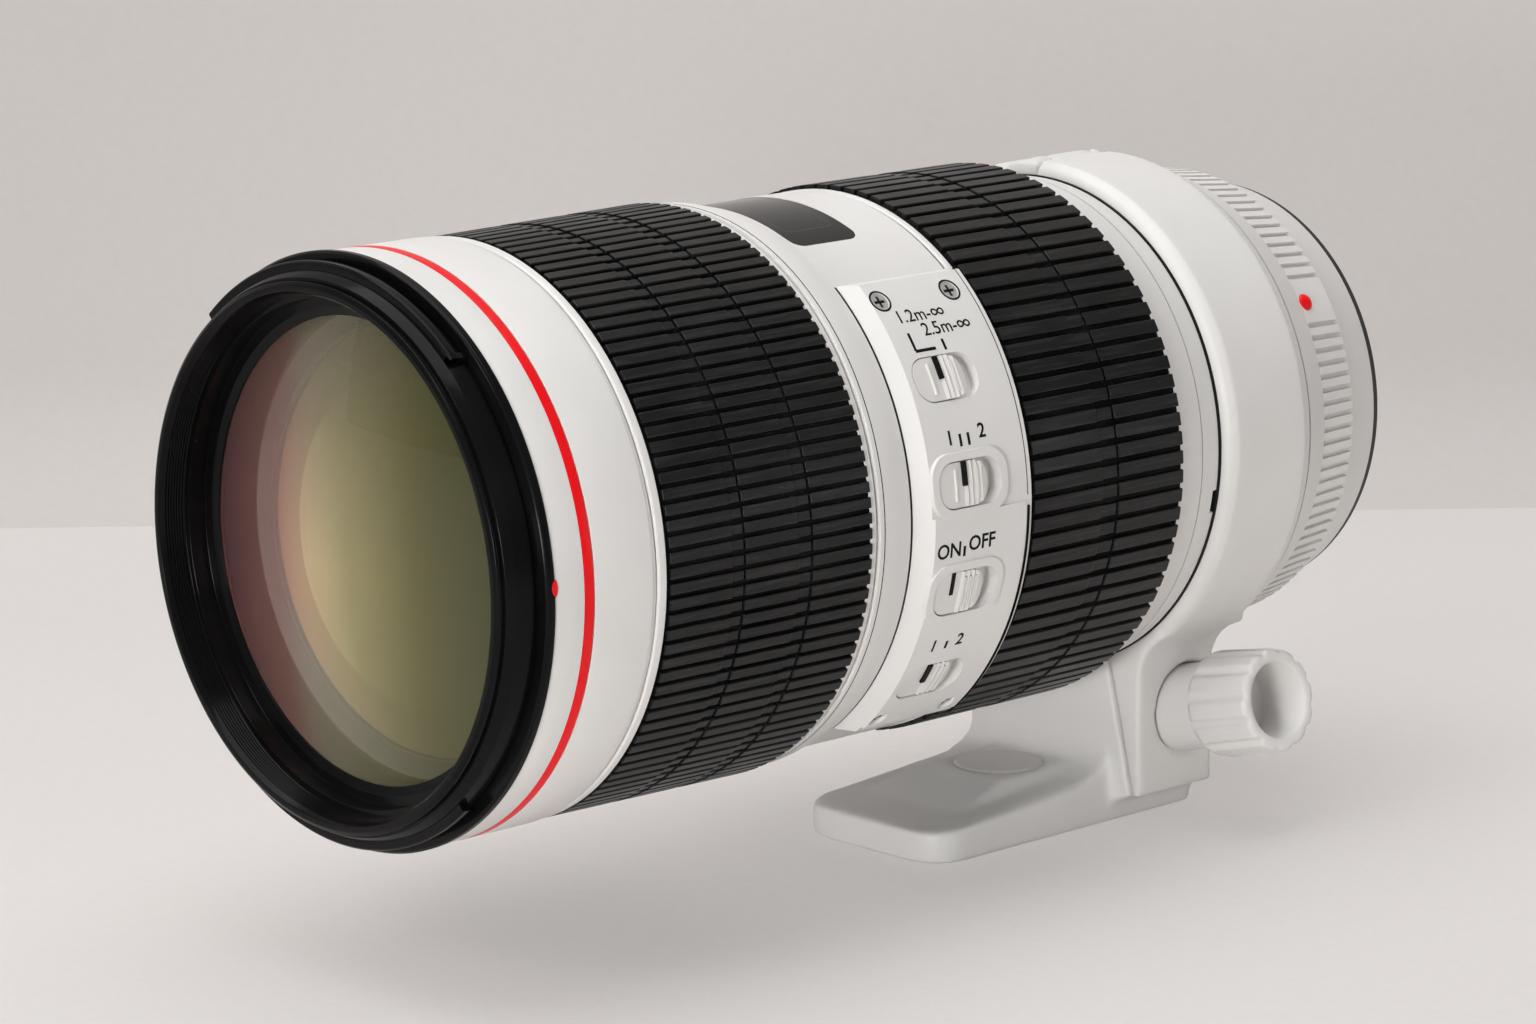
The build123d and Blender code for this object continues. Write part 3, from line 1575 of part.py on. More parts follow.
def make_hinge_pin():
    return hinge_cylinder(hinge_pin_radius, knuckle_start, knuckle_end)


def make_collar_band():
    body = collar_body() & band_region(collar_start - overrun, collar_end + overrun)
    body -= split_slab()
    body -= hinge_wall_slab()
    body -= hinge_cylinder(knuckle_clear, collar_start - overrun, band_knuckle_start)
    body -= hinge_cylinder(knuckle_clear, band_knuckle_end, collar_end + overrun)
    body += hinge_cylinder(knuckle_radius, band_knuckle_start, band_knuckle_end)
    body -= hinge_cylinder(hinge_pin_radius + running, band_knuckle_start - overrun, band_knuckle_end + overrun)
    body -= Pos(at(collar_end), -lug_face, -lug_bottom) * Box(
        2 * lug_rear_step, 2 * lug_thickness, 2 * (lug_bottom - hinge_radius + lug_fillet))
    body -= screw_cylinder(recess_radius, -bush_sink, bush_out)
    body -= screw_cylinder(screw_radius + running, -lug_thickness - overrun, bush_out)
    return body


# Clamp knob on its sliding bush
knob_start = 7.5
knob_length = 12.7
knob_outer_radius = 8.6
knob_end_radius = 8.2
knob_bore_radius = 6.2
knob_floor = 3.5
knob_flutes = 12
flute_radius = 1.9
flute_depth = 0.45
knob_edge = 0.5


def make_clamp_bush():
    bush = screw_cylinder(bush_radius, -bush_sink + slide_gap, bush_out)
    return bush - screw_cylinder(screw_radius + running, -bush_sink - overrun, bush_out + overrun)


def make_clamp_screw():
    tip = -lug_thickness - screw_depth
    shank = screw_cylinder(screw_radius, -lug_thickness + slide_gap, knob_start + knob_floor)
    return shank + screw_cylinder(screw_tip_radius, tip, -lug_thickness + slide_gap)


def make_clamp_knob():
    end = knob_start + knob_length
    body = Cone(knob_outer_radius, knob_end_radius, knob_length)
    body = chamfer(body.edges(), knob_edge)
    body -= Pos(0, 0, knob_floor) * Cylinder(knob_bore_radius, knob_length)
    reach = knob_outer_radius + flute_radius - flute_depth
    for index in range(knob_flutes):
        groove = Cylinder(flute_radius, knob_length - 4 * knob_edge) + Pos(
            0, 0, knob_length / 2 - 2 * knob_edge) * Sphere(flute_radius)
        body -= Rot(Z=index * full_turn / knob_flutes) * Pos(reach, 0, -2 * knob_edge - 2 * knob_edge) * groove
    knob = along_screw((knob_start + end) / 2) * body
    return knob - screw_cylinder(screw_radius, knob_start - overrun, knob_start + knob_floor)


def all_nodes():
    nodes = {
        "collar_foot": make_collar_foot(),
        "foot_cap": make_foot_cap(),
        "tripod_bushing": make_tripod_bushing(),
        "hinge_pin": make_hinge_pin(),
        "collar_band": make_collar_band(),
        "clamp_bush": make_clamp_bush(),
        "clamp_screw": make_clamp_screw(),
        "clamp_knob": make_clamp_knob(),
        "filter_ring": make_filter_ring(),
        "front_glass": make_front_glass(),
        "second_glass": make_second_glass(),
        "front_barrel": make_front_barrel(),
        "stripe_ring": make_stripe_ring(),
        "main_tube": make_main_tube(),
        "focus_motor": make_focus_motor(),
        "focus_ring": make_focus_ring(),
        "focus_grip": make_focus_grip(),
        "roller_ring": make_roller_ring(),
        "focus_cam_tube": make_focus_cam_tube(),
        "scale_drum": make_scale_drum(),
        "focus_cell": make_focus_cell(),
        "focus_glass": make_focus_glass(),
        "middle_barrel": make_middle_barrel(),
        "scale_window": make_scale_window(),
        "switch_panel": make_switch_panel(),
        "panel_screws": make_panel_screws(),
        "zoom_ring": make_zoom_ring(),
        "zoom_grip": make_zoom_grip(),
        "zoom_cam_tube": make_zoom_cam_tube(),
        "variator_cell": make_variator_cell(),
        "variator_glass": make_variator_glass(),
        "compensator_cell": make_compensator_cell(),
        "compensator_glass": make_compensator_glass(),
        "index_ring": make_index_ring(),
        "rear_barrel": make_rear_barrel(),
        "mount_dot": make_mount_dot(),
        "mount_gasket": make_gasket(),
        "lens_mount": make_lens_mount(),
        "mount_screws": make_mount_screws(),
        "contact_block": make_contact_block(),
        "rear_baffle": make_rear_baffle(),
        "rear_glass": make_rear_glass(),
        "diaphragm_plate": make_diaphragm_plate(),
        "diaphragm_ring": make_diaphragm_ring(),
        "stabilizer_frame": make_stabilizer_frame(),
        "stabilizer_slider": make_stabilizer_slider(),
        "stabilizer_cell": make_stabilizer_cell(),
        "stabilizer_glass": make_stabilizer_glass(),
    }
    for name in switch_angles:
        nodes[name] = make_switch(name)
    for index in range(blade_count):
        nodes[f"diaphragm_blade_{index + 1}"] = make_blade(index)
    return nodes


os.makedirs("parts", exist_ok=True)
for node_name, solid in all_nodes().items():
    export_step(solid, f"parts/{node_name}.step")
    print(node_name, len(solid.solids()), round(solid.volume, 1))
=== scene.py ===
import bpy
import bmesh
import json
from math import cos, degrees, pi, radians, sin, sqrt
from mathutils import Matrix, Vector


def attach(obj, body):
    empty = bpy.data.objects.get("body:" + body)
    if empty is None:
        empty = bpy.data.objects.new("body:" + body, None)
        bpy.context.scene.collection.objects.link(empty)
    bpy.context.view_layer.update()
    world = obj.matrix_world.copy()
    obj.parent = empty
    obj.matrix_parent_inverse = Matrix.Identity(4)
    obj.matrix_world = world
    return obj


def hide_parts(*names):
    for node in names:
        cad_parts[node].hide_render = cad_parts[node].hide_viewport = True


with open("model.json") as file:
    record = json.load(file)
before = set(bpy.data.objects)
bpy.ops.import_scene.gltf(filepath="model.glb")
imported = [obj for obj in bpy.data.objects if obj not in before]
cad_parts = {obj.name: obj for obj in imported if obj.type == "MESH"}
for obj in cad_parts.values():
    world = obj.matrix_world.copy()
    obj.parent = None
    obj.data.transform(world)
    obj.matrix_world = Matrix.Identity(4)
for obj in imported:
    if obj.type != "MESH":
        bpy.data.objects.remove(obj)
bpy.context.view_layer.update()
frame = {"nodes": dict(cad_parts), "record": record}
cadNodes = frame["nodes"]
slotOfNode = {part["node"]: part["material_slot"] for part in frame["record"]["subparts"]}

# Stations are millimetres behind the front lip, angles run from the top towards the switches
lensLength = 193.5
mm = 0.001


def along(station):
    return (station - lensLength) * mm


def onBarrel(station, radius, angle):
    turn = radians(angle)
    return Vector((along(station), -radius * mm * sin(turn), radius * mm * cos(turn)))


def setInputs(tree, node, values):
    for key, value in values.items():
        if isinstance(value, bpy.types.NodeSocket):
            tree.links.new(value, node.inputs[key])
        else:
            node.inputs[key].default_value = value


def addNode(tree, kind, inputs=None, **settings):
    node = tree.nodes.new(kind)
    for name, value in settings.items():
        setattr(node, name, value)
    setInputs(tree, node, inputs or {})
    return node


def mathNode(tree, operation, first, second=0.0, third=0.0):
    node = addNode(tree, "ShaderNodeMath", {0: first, 1: second, 2: third}, operation=operation)
    return node.outputs[0]


def hypotenuse(tree, a, b):
    square = mathNode(tree, "ADD", mathNode(tree, "MULTIPLY", a, a), mathNode(tree, "MULTIPLY", b, b))
    return mathNode(tree, "SQRT", square)


def combine(tree, x, y, z):
    return addNode(tree, "ShaderNodeCombineXYZ", {0: x, 1: y, 2: z}).outputs[0]


def separate(tree, vector):
    return addNode(tree, "ShaderNodeSeparateXYZ", {0: vector}).outputs


def remap(tree, value, low, high, newLow=0.0, newHigh=1.0):
    node = addNode(tree, "ShaderNodeMapRange", {"Value": value, "From Min": low, "From Max": high,
                                                "To Min": newLow, "To Max": newHigh})
    return node.outputs[0]


def noise(tree, place, scale, detail=2.0, roughness=0.5, output="Fac"):
    node = addNode(tree, "ShaderNodeTexNoise",
                   {"Vector": place, "Scale": scale, "Detail": detail, "Roughness": roughness})
    return node.outputs[output]


def mixColor(tree, factor, first, second):
    node = addNode(tree, "ShaderNodeMix", {0: factor, 6: first, 7: second}, data_type="RGBA")
    return node.outputs[2]


def mixShader(tree, factor, first, second):
    node = addNode(tree, "ShaderNodeMixShader", {0: factor, 1: first.outputs[0], 2: second.outputs[0]})
    return node


def newGroup(name, kind, inputs, outputs, values=None):
    tree = bpy.data.node_groups.new(name, kind)
    for label, socketKind in inputs.items():
        socket = tree.interface.new_socket(name=label, in_out="INPUT", socket_type="NodeSocket" + socketKind)
        if values and label in values:
            socket.default_value = values[label]
    for label, socketKind in outputs.items():
        tree.interface.new_socket(name=label, in_out="OUTPUT", socket_type="NodeSocket" + socketKind)
    return tree, tree.nodes.new("NodeGroupInput").outputs, tree.nodes.new("NodeGroupOutput").inputs


def putInScene(name, data):
    thing = bpy.data.objects.new(name, data)
    bpy.context.scene.collection.objects.link(thing)
    return thing


# The mesh that an object has after its modifiers; the object itself goes
def finishedMesh(holder):
    graph = bpy.context.evaluated_depsgraph_get()
    mesh = bpy.data.meshes.new_from_object(holder.evaluated_get(graph), depsgraph=graph)
    bpy.data.objects.remove(holder)
    return mesh


# Camera, fitted to the circles of the barrel in the photograph
cameraFit = {
    "azimuth": -42.456893, "elevation": 11.905303, "roll": -0.767288,
    "target": (115.393828 - lensLength, 29.824674, -14.785332),
    "distance": 820.646654, "focalPixels": 4991.583063, "imageWidth": 1536,
    "sensorWidth": 36, "clipStart": 0.01,
}


def makeCamera(fit):
    a, e, r = (radians(fit[k]) for k in ("azimuth", "elevation", "roll"))
    back = Vector((sin(a) * cos(e), -cos(a) * cos(e), sin(e)))
    right = Vector((0, 0, 1)).cross(back).normalized()
    up = back.cross(right)
    rolledRight = right * cos(r) + up * sin(r)
    rolledUp = up * cos(r) - right * sin(r)
    camera = bpy.data.cameras.new("photoCamera")
    camera.sensor_width = fit["sensorWidth"]
    camera.lens = fit["focalPixels"] / fit["imageWidth"] * fit["sensorWidth"]
    camera.clip_start = fit["clipStart"]
    holder = putInScene("photoCamera", camera)
    place = (Vector(fit["target"]) + back * fit["distance"]) * mm
    turn = Matrix((rolledRight, rolledUp, back)).transposed()
    holder.matrix_world = Matrix.Translation(place) @ turn.to_4x4()
    bpy.context.scene.camera = holder
    return back


viewBack = makeCamera(cameraFit)
print("camera placed")


# Shared effects for the materials
def buildLeatherGrain():
    tree, given, made = newGroup(
        "leatherGrain", "ShaderNodeTree",
        {"Vector": "Vector", "Cell Scale": "Float", "Fine Scale": "Float"}, {"Height": "Float", "Patches": "Float"})
    place = given["Vector"]
    warp = noise(tree, place, 900.0, output="Color")
    bent = addNode(tree, "ShaderNodeVectorMath", {0: warp, 1: (0.0004, 0.0004, 0.0004)}, operation="MULTIPLY")
    warped = addNode(tree, "ShaderNodeVectorMath", {0: place, 1: bent.outputs[0]}, operation="ADD")
    cells = addNode(tree, "ShaderNodeTexVoronoi",
                    {"Vector": warped.outputs[0], "Scale": given["Cell Scale"], "Smoothness": 0.6},
                    feature="SMOOTH_F1")
    fine = mathNode(tree, "MULTIPLY", noise(tree, place, given["Fine Scale"], 3.0), 0.35)
    tree.links.new(mathNode(tree, "ADD", cells.outputs["Distance"], fine), made["Height"])
    tree.links.new(remap(tree, noise(tree, place, 45.0, 4.0), 0.35, 0.65), made["Patches"])
    return tree


def buildDustAndWear():
    tree, given, made = newGroup(
        "dustAndWear", "ShaderNodeTree",
        {"Vector": "Vector", "Clean Color": "Color", "Dust Color": "Color", "Dust": "Float", "Rough": "Float",
         "Rough Spread": "Float"}, {"Color": "Color", "Roughness": "Float"})
    specks = remap(tree, noise(tree, given["Vector"], 2600.0, 2.0, 0.7), 0.52, 0.78)
    clouds = noise(tree, given["Vector"], 110.0, 5.0)
    cloudMask = remap(tree, clouds, 0.38, 0.7)
    both = mathNode(tree, "MULTIPLY", specks, cloudMask)
    fade = mathNode(tree, "MULTIPLY_ADD", cloudMask, 0.35, both)
    amount = mathNode(tree, "MULTIPLY", fade, given["Dust"])
    shift = mathNode(tree, "SUBTRACT", clouds, 0.5)
    tree.links.new(mixColor(tree, amount, given["Clean Color"], given["Dust Color"]), made["Color"])
    tree.links.new(mathNode(tree, "MULTIPLY_ADD", shift, given["Rough Spread"], given["Rough"]),
                   made["Roughness"])
    return tree


leatherGrain = buildLeatherGrain()
dustAndWear = buildDustAndWear()


def newMaterial(name):
    material = bpy.data.materials.new(name)
    material.use_nodes = True
    tree = material.node_tree
    place = tree.nodes.new("ShaderNodeTexCoord").outputs["Object"]
    return material, tree, tree.nodes["Principled BSDF"], place


def surfaceMaterial(name, look):
    material, tree, shader, place = newMaterial(name)
    grain = addNode(tree, "ShaderNodeGroup", {"Vector": place, "Cell Scale": look.get("cells", 1500.0),
                                              "Fine Scale": look.get("fine", 4200.0)}, node_tree=leatherGrain)
    tone = mixColor(tree, grain.outputs["Patches"], (*look["dark"], 1), (*look["light"], 1))
    if "streakColor" in look:
        # fine lines drawn out along the barrel
        drawn = addNode(tree, "ShaderNodeMapping", {"Vector": place, "Scale": (0.05, 1.0, 1.0)})
        lines = noise(tree, drawn.outputs[0], 1900.0, 4.0, 0.6)
        tone = mixColor(tree, remap(tree, lines, 0.48, 0.75), tone, (*look["streakColor"], 1))
    wear = addNode(tree, "ShaderNodeGroup", {"Vector": place, "Clean Color": tone, "Rough": look["rough"],
                                             "Dust Color": (*look.get("dustColor", (0.5, 0.49, 0.47)), 1),
                                             "Dust": look.get("dust", 0.05),
                                             "Rough Spread": look.get("spread", 0.12)}, node_tree=dustAndWear)
    bump = addNode(tree, "ShaderNodeBump", {"Height": grain.outputs["Height"], "Strength": look.get("bump", 0.3),
                                            "Distance": look.get("depth", 0.00003)})
    setInputs(tree, shader, {"Base Color": wear.outputs["Color"], "Roughness": wear.outputs["Roughness"],
                             "Normal": bump.outputs["Normal"], "Metallic": look.get("metal", 0.0),
                             "Specular IOR Level": look.get("specular", 0.5)})
    return material


looks = {
    "white_paint": {"dark": (0.745, 0.733, 0.715), "light": (0.785, 0.773, 0.757), "rough": 0.42, "bump": 0.32,
                    "depth": 0.00004, "dust": 0.05, "dustColor": (0.62, 0.6, 0.56), "specular": 0.45},
    "white_plastic": {"dark": (0.71, 0.695, 0.675), "light": (0.75, 0.735, 0.715), "rough": 0.36, "bump": 0.12,
                      "cells": 3200.0, "dust": 0.04, "dustColor": (0.6, 0.58, 0.54)},
    "black_ring": {"dark": (0.0025, 0.0025, 0.0027), "light": (0.0045, 0.0045, 0.0047), "rough": 0.17, "bump": 0.06,
                   "cells": 2600.0, "dust": 0.005, "specular": 0.1},
    "red_paint": {"dark": (0.80, 0.0, 0.004), "light": (0.88, 0.001, 0.006), "rough": 0.34, "bump": 0.06,
                  "dust": 0.02, "specular": 0.22},
    "grip_rubber": {"dark": (0.005, 0.005, 0.005), "light": (0.01, 0.01, 0.01), "rough": 0.34, "bump": 0.22,
                    "streakColor": (0.028, 0.0275, 0.027), "cells": 2400.0, "fine": 5200.0, "dust": 0.05,
                    "dustColor": (0.12, 0.115, 0.11), "spread": 0.25, "specular": 0.24},
    "black_anodised": {"dark": (0.006, 0.006, 0.006), "light": (0.011, 0.011, 0.011), "rough": 0.6, "bump": 0.2,
                       "cells": 3500.0, "dust": 0.03},
    "brass": {"dark": (0.52, 0.36, 0.13), "light": (0.64, 0.46, 0.19), "rough": 0.32, "metal": 1.0, "bump": 0.08},
    "chrome": {"dark": (0.62, 0.62, 0.63), "light": (0.7, 0.7, 0.71), "rough": 0.16, "metal": 1.0, "bump": 0.05,
               "cells": 900.0, "dust": 0.03},
    "steel": {"dark": (0.6, 0.6, 0.6), "light": (0.7, 0.7, 0.69), "rough": 0.36, "metal": 0.75, "bump": 0.08},
    "black_plastic": {"dark": (0.013, 0.013, 0.013), "light": (0.02, 0.02, 0.02), "rough": 0.5, "bump": 0.2},
    "gasket_rubber": {"dark": (0.009, 0.009, 0.009), "light": (0.015, 0.015, 0.015), "rough": 0.6, "bump": 0.2},
}
materials = {name: surfaceMaterial(name, look) for name, look in looks.items()}
# A darker, duller copy of the grip rubber: painted shade on the groove floors between the bars; the funnel between
# the front elements has it too
grooveShadeRubber = surfaceMaterial("grooveShadeRubber", {"dark": (0.003, 0.003, 0.003), "light": (0.006, 0.006, 0.006),
                                                "rough": 0.7, "specular": 0.06, "bump": 0.1})


def splitPlace(tree, place):
    x, y, z = separate(tree, place)
    return x, y, z, hypotenuse(tree, y, z)


def ramp(tree, value, stops):
    node = addNode(tree, "ShaderNodeValToRGB", {"Fac": value})
    elements = node.color_ramp.elements
    for index, (position, color) in enumerate(stops):
        element = elements[index] if index < 2 else elements.new(position)
        element.position = position
        element.color = (*color, 1)
    return node.outputs["Color"]


def letShadowsThrough(tree, shader):
    rays = tree.nodes.new("ShaderNodeLightPath")
    clear = tree.nodes.new("ShaderNodeBsdfTransparent")
    mix = mixShader(tree, rays.outputs["Is Shadow Ray"], shader, clear)
    tree.links.new(mix.outputs[0], tree.nodes["Material Output"].inputs["Surface"])


# What every pane has: its tint, smudges in its roughness and the plain values of its look
def dressPane(tree, shader, place, tint, look):
    smudges = remap(tree, noise(tree, place, 60.0, 6.0, 0.65), 0.45, 0.75, *look["rough"])
    setInputs(tree, shader, {"Base Color": tint, "Roughness": smudges, **look["sockets"]})


# Coating tints with painted reflections. Front element: olive on the near side, cream and then mauve towards the far
# one
frontGlassLook = {"sockets": {"Transmission Weight": 0.9, "IOR": 1.4}, "rough": (0.0, 0.04), "halfWidth": 0.035,
                  "stops": [(0.0, (0.22, 0.22, 0.11)), (1.0, (0.58, 0.31, 0.31)), (0.3, (0.36, 0.35, 0.17)),
                            (0.55, (0.74, 0.70, 0.49)), (0.68, (0.88, 0.80, 0.62)), (0.75, (0.82, 0.50, 0.43))]}
# Second element: painted reflections in an inner disc and an outer zone, and painted shade towards the top
secondGlassLook = {"cream": (0.84, 0.74, 0.50), "khaki": (0.34, 0.31, 0.15), "olive": (0.12, 0.12, 0.05),
                   "green": (0.06, 0.072, 0.033), "beige": (0.52, 0.38, 0.23), "brown": (0.2, 0.17, 0.08),
                   "rim": (0.05, 0.03, 0.012), "shade": (0.05, 0.052, 0.022), "shadeFrom": (-0.006, 0.024),
                   "shadeAmount": 0.9, "halfWidth": 0.026, "innerRadius": 0.0244, "innerSoft": 0.0002,
                   "outerRadius": 0.0310, "outerSoft": 0.0004, "rough": (0.12, 0.18),
                   "sockets": {"Transmission Weight": 0.25, "Specular IOR Level": 0.3, "Coat Weight": 0.15,
                               "Coat Roughness": 0.12}}


def makeFrontGlassMaterial(look):
    material, tree, shader, place = newMaterial("frontCoatingPaintedReflection")
    # painted reflection: the tint runs from the near side to the far side of the pane
    side = remap(tree, splitPlace(tree, place)[1], -look["halfWidth"], look["halfWidth"])
    dressPane(tree, shader, place, ramp(tree, side, look["stops"]), look)
    letShadowsThrough(tree, shader)
    return material


# Painted reflection: an inner disc and an outer zone, each from green on the near side to cream on the far one;
# painted shade makes it darker at the top
def makeSecondGlassMaterial(look):
    material, tree, shader, place = newMaterial("secondPaintedReflectionAndShade")
    y, z, radius = splitPlace(tree, place)[1:]
    side = remap(tree, y, -look["halfWidth"], look["halfWidth"])
    disc = ramp(tree, side, [(0.0, look["green"]), (1.0, look["cream"]), (0.38, look["olive"]),
                             (0.72, look["khaki"])])
    zone = ramp(tree, side, [(0.0, look["green"]), (1.0, look["beige"]), (0.6, look["brown"])])
    edge, soft = look["innerRadius"], look["innerSoft"]
    tint = mixColor(tree, remap(tree, radius, edge - soft, edge + soft), disc, zone)
    # painted shade: the element darker towards its top
    shade = remap(tree, z, *look["shadeFrom"], 0.0, look["shadeAmount"])
    tint = mixColor(tree, shade, tint, (*look["shade"], 1))
    rim = remap(tree, radius, look["outerRadius"], look["outerRadius"] + look["outerSoft"])
    tint = mixColor(tree, rim, tint, (*look["rim"], 1))
    dressPane(tree, shader, place, tint, look)
    letShadowsThrough(tree, shader)
    return material


clearGlassLook = {"sockets": {"Transmission Weight": 0.9}, "rough": (0.02, 0.06), "radius": 0.032,
                  "stops": [(0.0, (0.86, 0.9, 0.84)), (1.0, (0.62, 0.72, 0.66))]}


def makeClearGlassMaterial(look):
    material, tree, shader, place = newMaterial("clearElement")
    share = remap(tree, splitPlace(tree, place)[3], 0.0, look["radius"])
    dressPane(tree, shader, place, ramp(tree, share, look["stops"]), look)
    letShadowsThrough(tree, shader)
    return material


# The pane over the distance scale: smoky, with the faint frame of the scale under it
windowLook = {"station": 84.45, "halfLength": 0.0049, "halfWidth": 0.0142, "line": 0.00022, "corner": 0.0012,
              "smoke": (0.004, 0.004, 0.0045), "frame": (0.035, 0.035, 0.036), "rough": (0.07, 0.15),
              "sockets": {"Specular IOR Level": 0.32}}


def makeWindowMaterial(look):
    material, tree, shader, place = newMaterial("smokyPane")
    x, y = splitPlace(tree, place)[:2]
    x = mathNode(tree, "SUBTRACT", x, along(look["station"]))
    # distance from the outline of a rectangle with round corners
    dx, dy = (mathNode(tree, "SUBTRACT", mathNode(tree, "ABSOLUTE", reach), look[half] - look["corner"])
              for reach, half in ((x, "halfLength"), (y, "halfWidth")))
    corner = hypotenuse(tree, *(mathNode(tree, "MAXIMUM", reach, 0.0) for reach in (dx, dy)))
    inside = mathNode(tree, "MINIMUM", mathNode(tree, "MAXIMUM", dx, dy), 0.0)
    edge = mathNode(tree, "SUBTRACT", mathNode(tree, "ADD", corner, inside), look["corner"])
    line = remap(tree, mathNode(tree, "ABSOLUTE", edge), look["line"], 0.0)
    dressPane(tree, shader, place, mixColor(tree, line, (*look["smoke"], 1), (*look["frame"], 1)), look)
    return material


inkLook = {"stops": [(0.3, (0.003, 0.003, 0.003)), (0.75, (0.009, 0.009, 0.009))], "scale": 5000.0,
           "specular": 0.12, "rough": (0.35, 0.6)}


def makeInkMaterial(look):
    material, tree, shader, place = newMaterial("printInk")
    grain = noise(tree, place, look["scale"])
    setInputs(tree, shader, {"Base Color": ramp(tree, grain, look["stops"]), "Specular IOR Level": look["specular"],
                             "Roughness": remap(tree, grain, 0.0, 1.0, *look["rough"])})
    return material


materials["coated_glass"] = makeFrontGlassMaterial(frontGlassLook)
materials["clear_glass"] = makeClearGlassMaterial(clearGlassLook)
materials["smoky_glass"] = makeWindowMaterial(windowLook)
materials["ink"] = makeInkMaterial(inkLook)
secondPaintedReflectionAndShade = makeSecondGlassMaterial(secondGlassLook)
print("materials built")


# Meshes of turned parts: an outline of stations and radii, with each corner rounded off
def rounded(points, radius):
    made = []
    count = len(points)
    for index, (s, r) in enumerate(points):
        ps, pr = points[index - 1]
        ns, nr = points[(index + 1) % count]
        before = Vector((ps - s, pr - r))
        after = Vector((ns - s, nr - r))
        if before.length < 1e-6 or after.length < 1e-6 or before.angle(after) > radians(170) or r == 0:
            made.append((s, r))
            continue
        cut = min(radius, before.length * 0.45, after.length * 0.45)
        a = Vector((s, r)) + before.normalized() * cut
        b = Vector((s, r)) + after.normalized() * cut
        for t in (0.0, 0.33, 0.67, 1.0):
            p = a * (1 - t) ** 2 + Vector((s, r)) * 2 * t * (1 - t) + b * t ** 2
            made.append((p.x, p.y))
    return made


def turned(points, start=0.0, sweep=360.0, steps=288, edge=0.0):
    outline = rounded(points, edge) if edge else list(points)
    full = sweep >= 360
    count = steps if full else max(3, int(steps * sweep / 360) + 1)
    bm = bmesh.new()
    poles = {}
    rings = []
    for turn in range(count if full else count + 1):
        angle = start + sweep * turn / count
        ring = []
        for index, (s, r) in enumerate(outline):
            if r == 0:
                if index not in poles:
                    poles[index] = bm.verts.new((along(s), 0, 0))
                ring.append(poles[index])
            else:
                ring.append(bm.verts.new(onBarrel(s, r, angle)))
        rings.append(ring)
    size = len(outline)
    for turn in range(count):
        near = rings[turn]
        far = rings[(turn + 1) % len(rings)]
        for index in range(size):
            following = (index + 1) % size
            corners = []
            for vert in (near[index], near[following], far[following], far[index]):
                if vert not in corners:
                    corners.append(vert)
            if len(corners) > 2:
                bm.faces.new(corners)
    if not full:
        bm.faces.new(rings[0])
        bm.faces.new(rings[-1])
    bmesh.ops.recalc_face_normals(bm, faces=bm.faces)
    return bm


# A low bar on the barrel: an outline of four corners, swept through an angle
def turnedBar(front, rear, low, high, start=0.0, sweep=360.0, edge=0.0):
    return turned([(front, low), (front, high), (rear, high), (rear, low)], start, sweep, edge=edge)


def meshFrom(name, bm, sharp=32):
    mesh = bpy.data.meshes.new(name)
    bm.to_mesh(mesh)
    bm.free()
    mesh.shade_smooth()
    mesh.set_sharp_from_angle(angle=radians(sharp))
    return mesh


def joined(*parts):
    whole = bmesh.new()
    for part in parts:
        if isinstance(part, bmesh.types.BMesh):
            scratch = bpy.data.meshes.new("scratch")
            part.to_mesh(scratch)
            part.free()
            part = scratch
        whole.from_mesh(part)
        bpy.data.meshes.remove(part)
    return whole


def addPiece(name, mesh, body, slotName, nodes=(), material=None):
    if isinstance(mesh, bmesh.types.BMesh):
        mesh = meshFrom(name, mesh)
    piece = putInScene(name, mesh)
    mesh.materials.clear()
    mesh.materials.append(material or materials[slotName])
    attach(piece, body)
    if nodes:
        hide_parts(*nodes)
    return piece


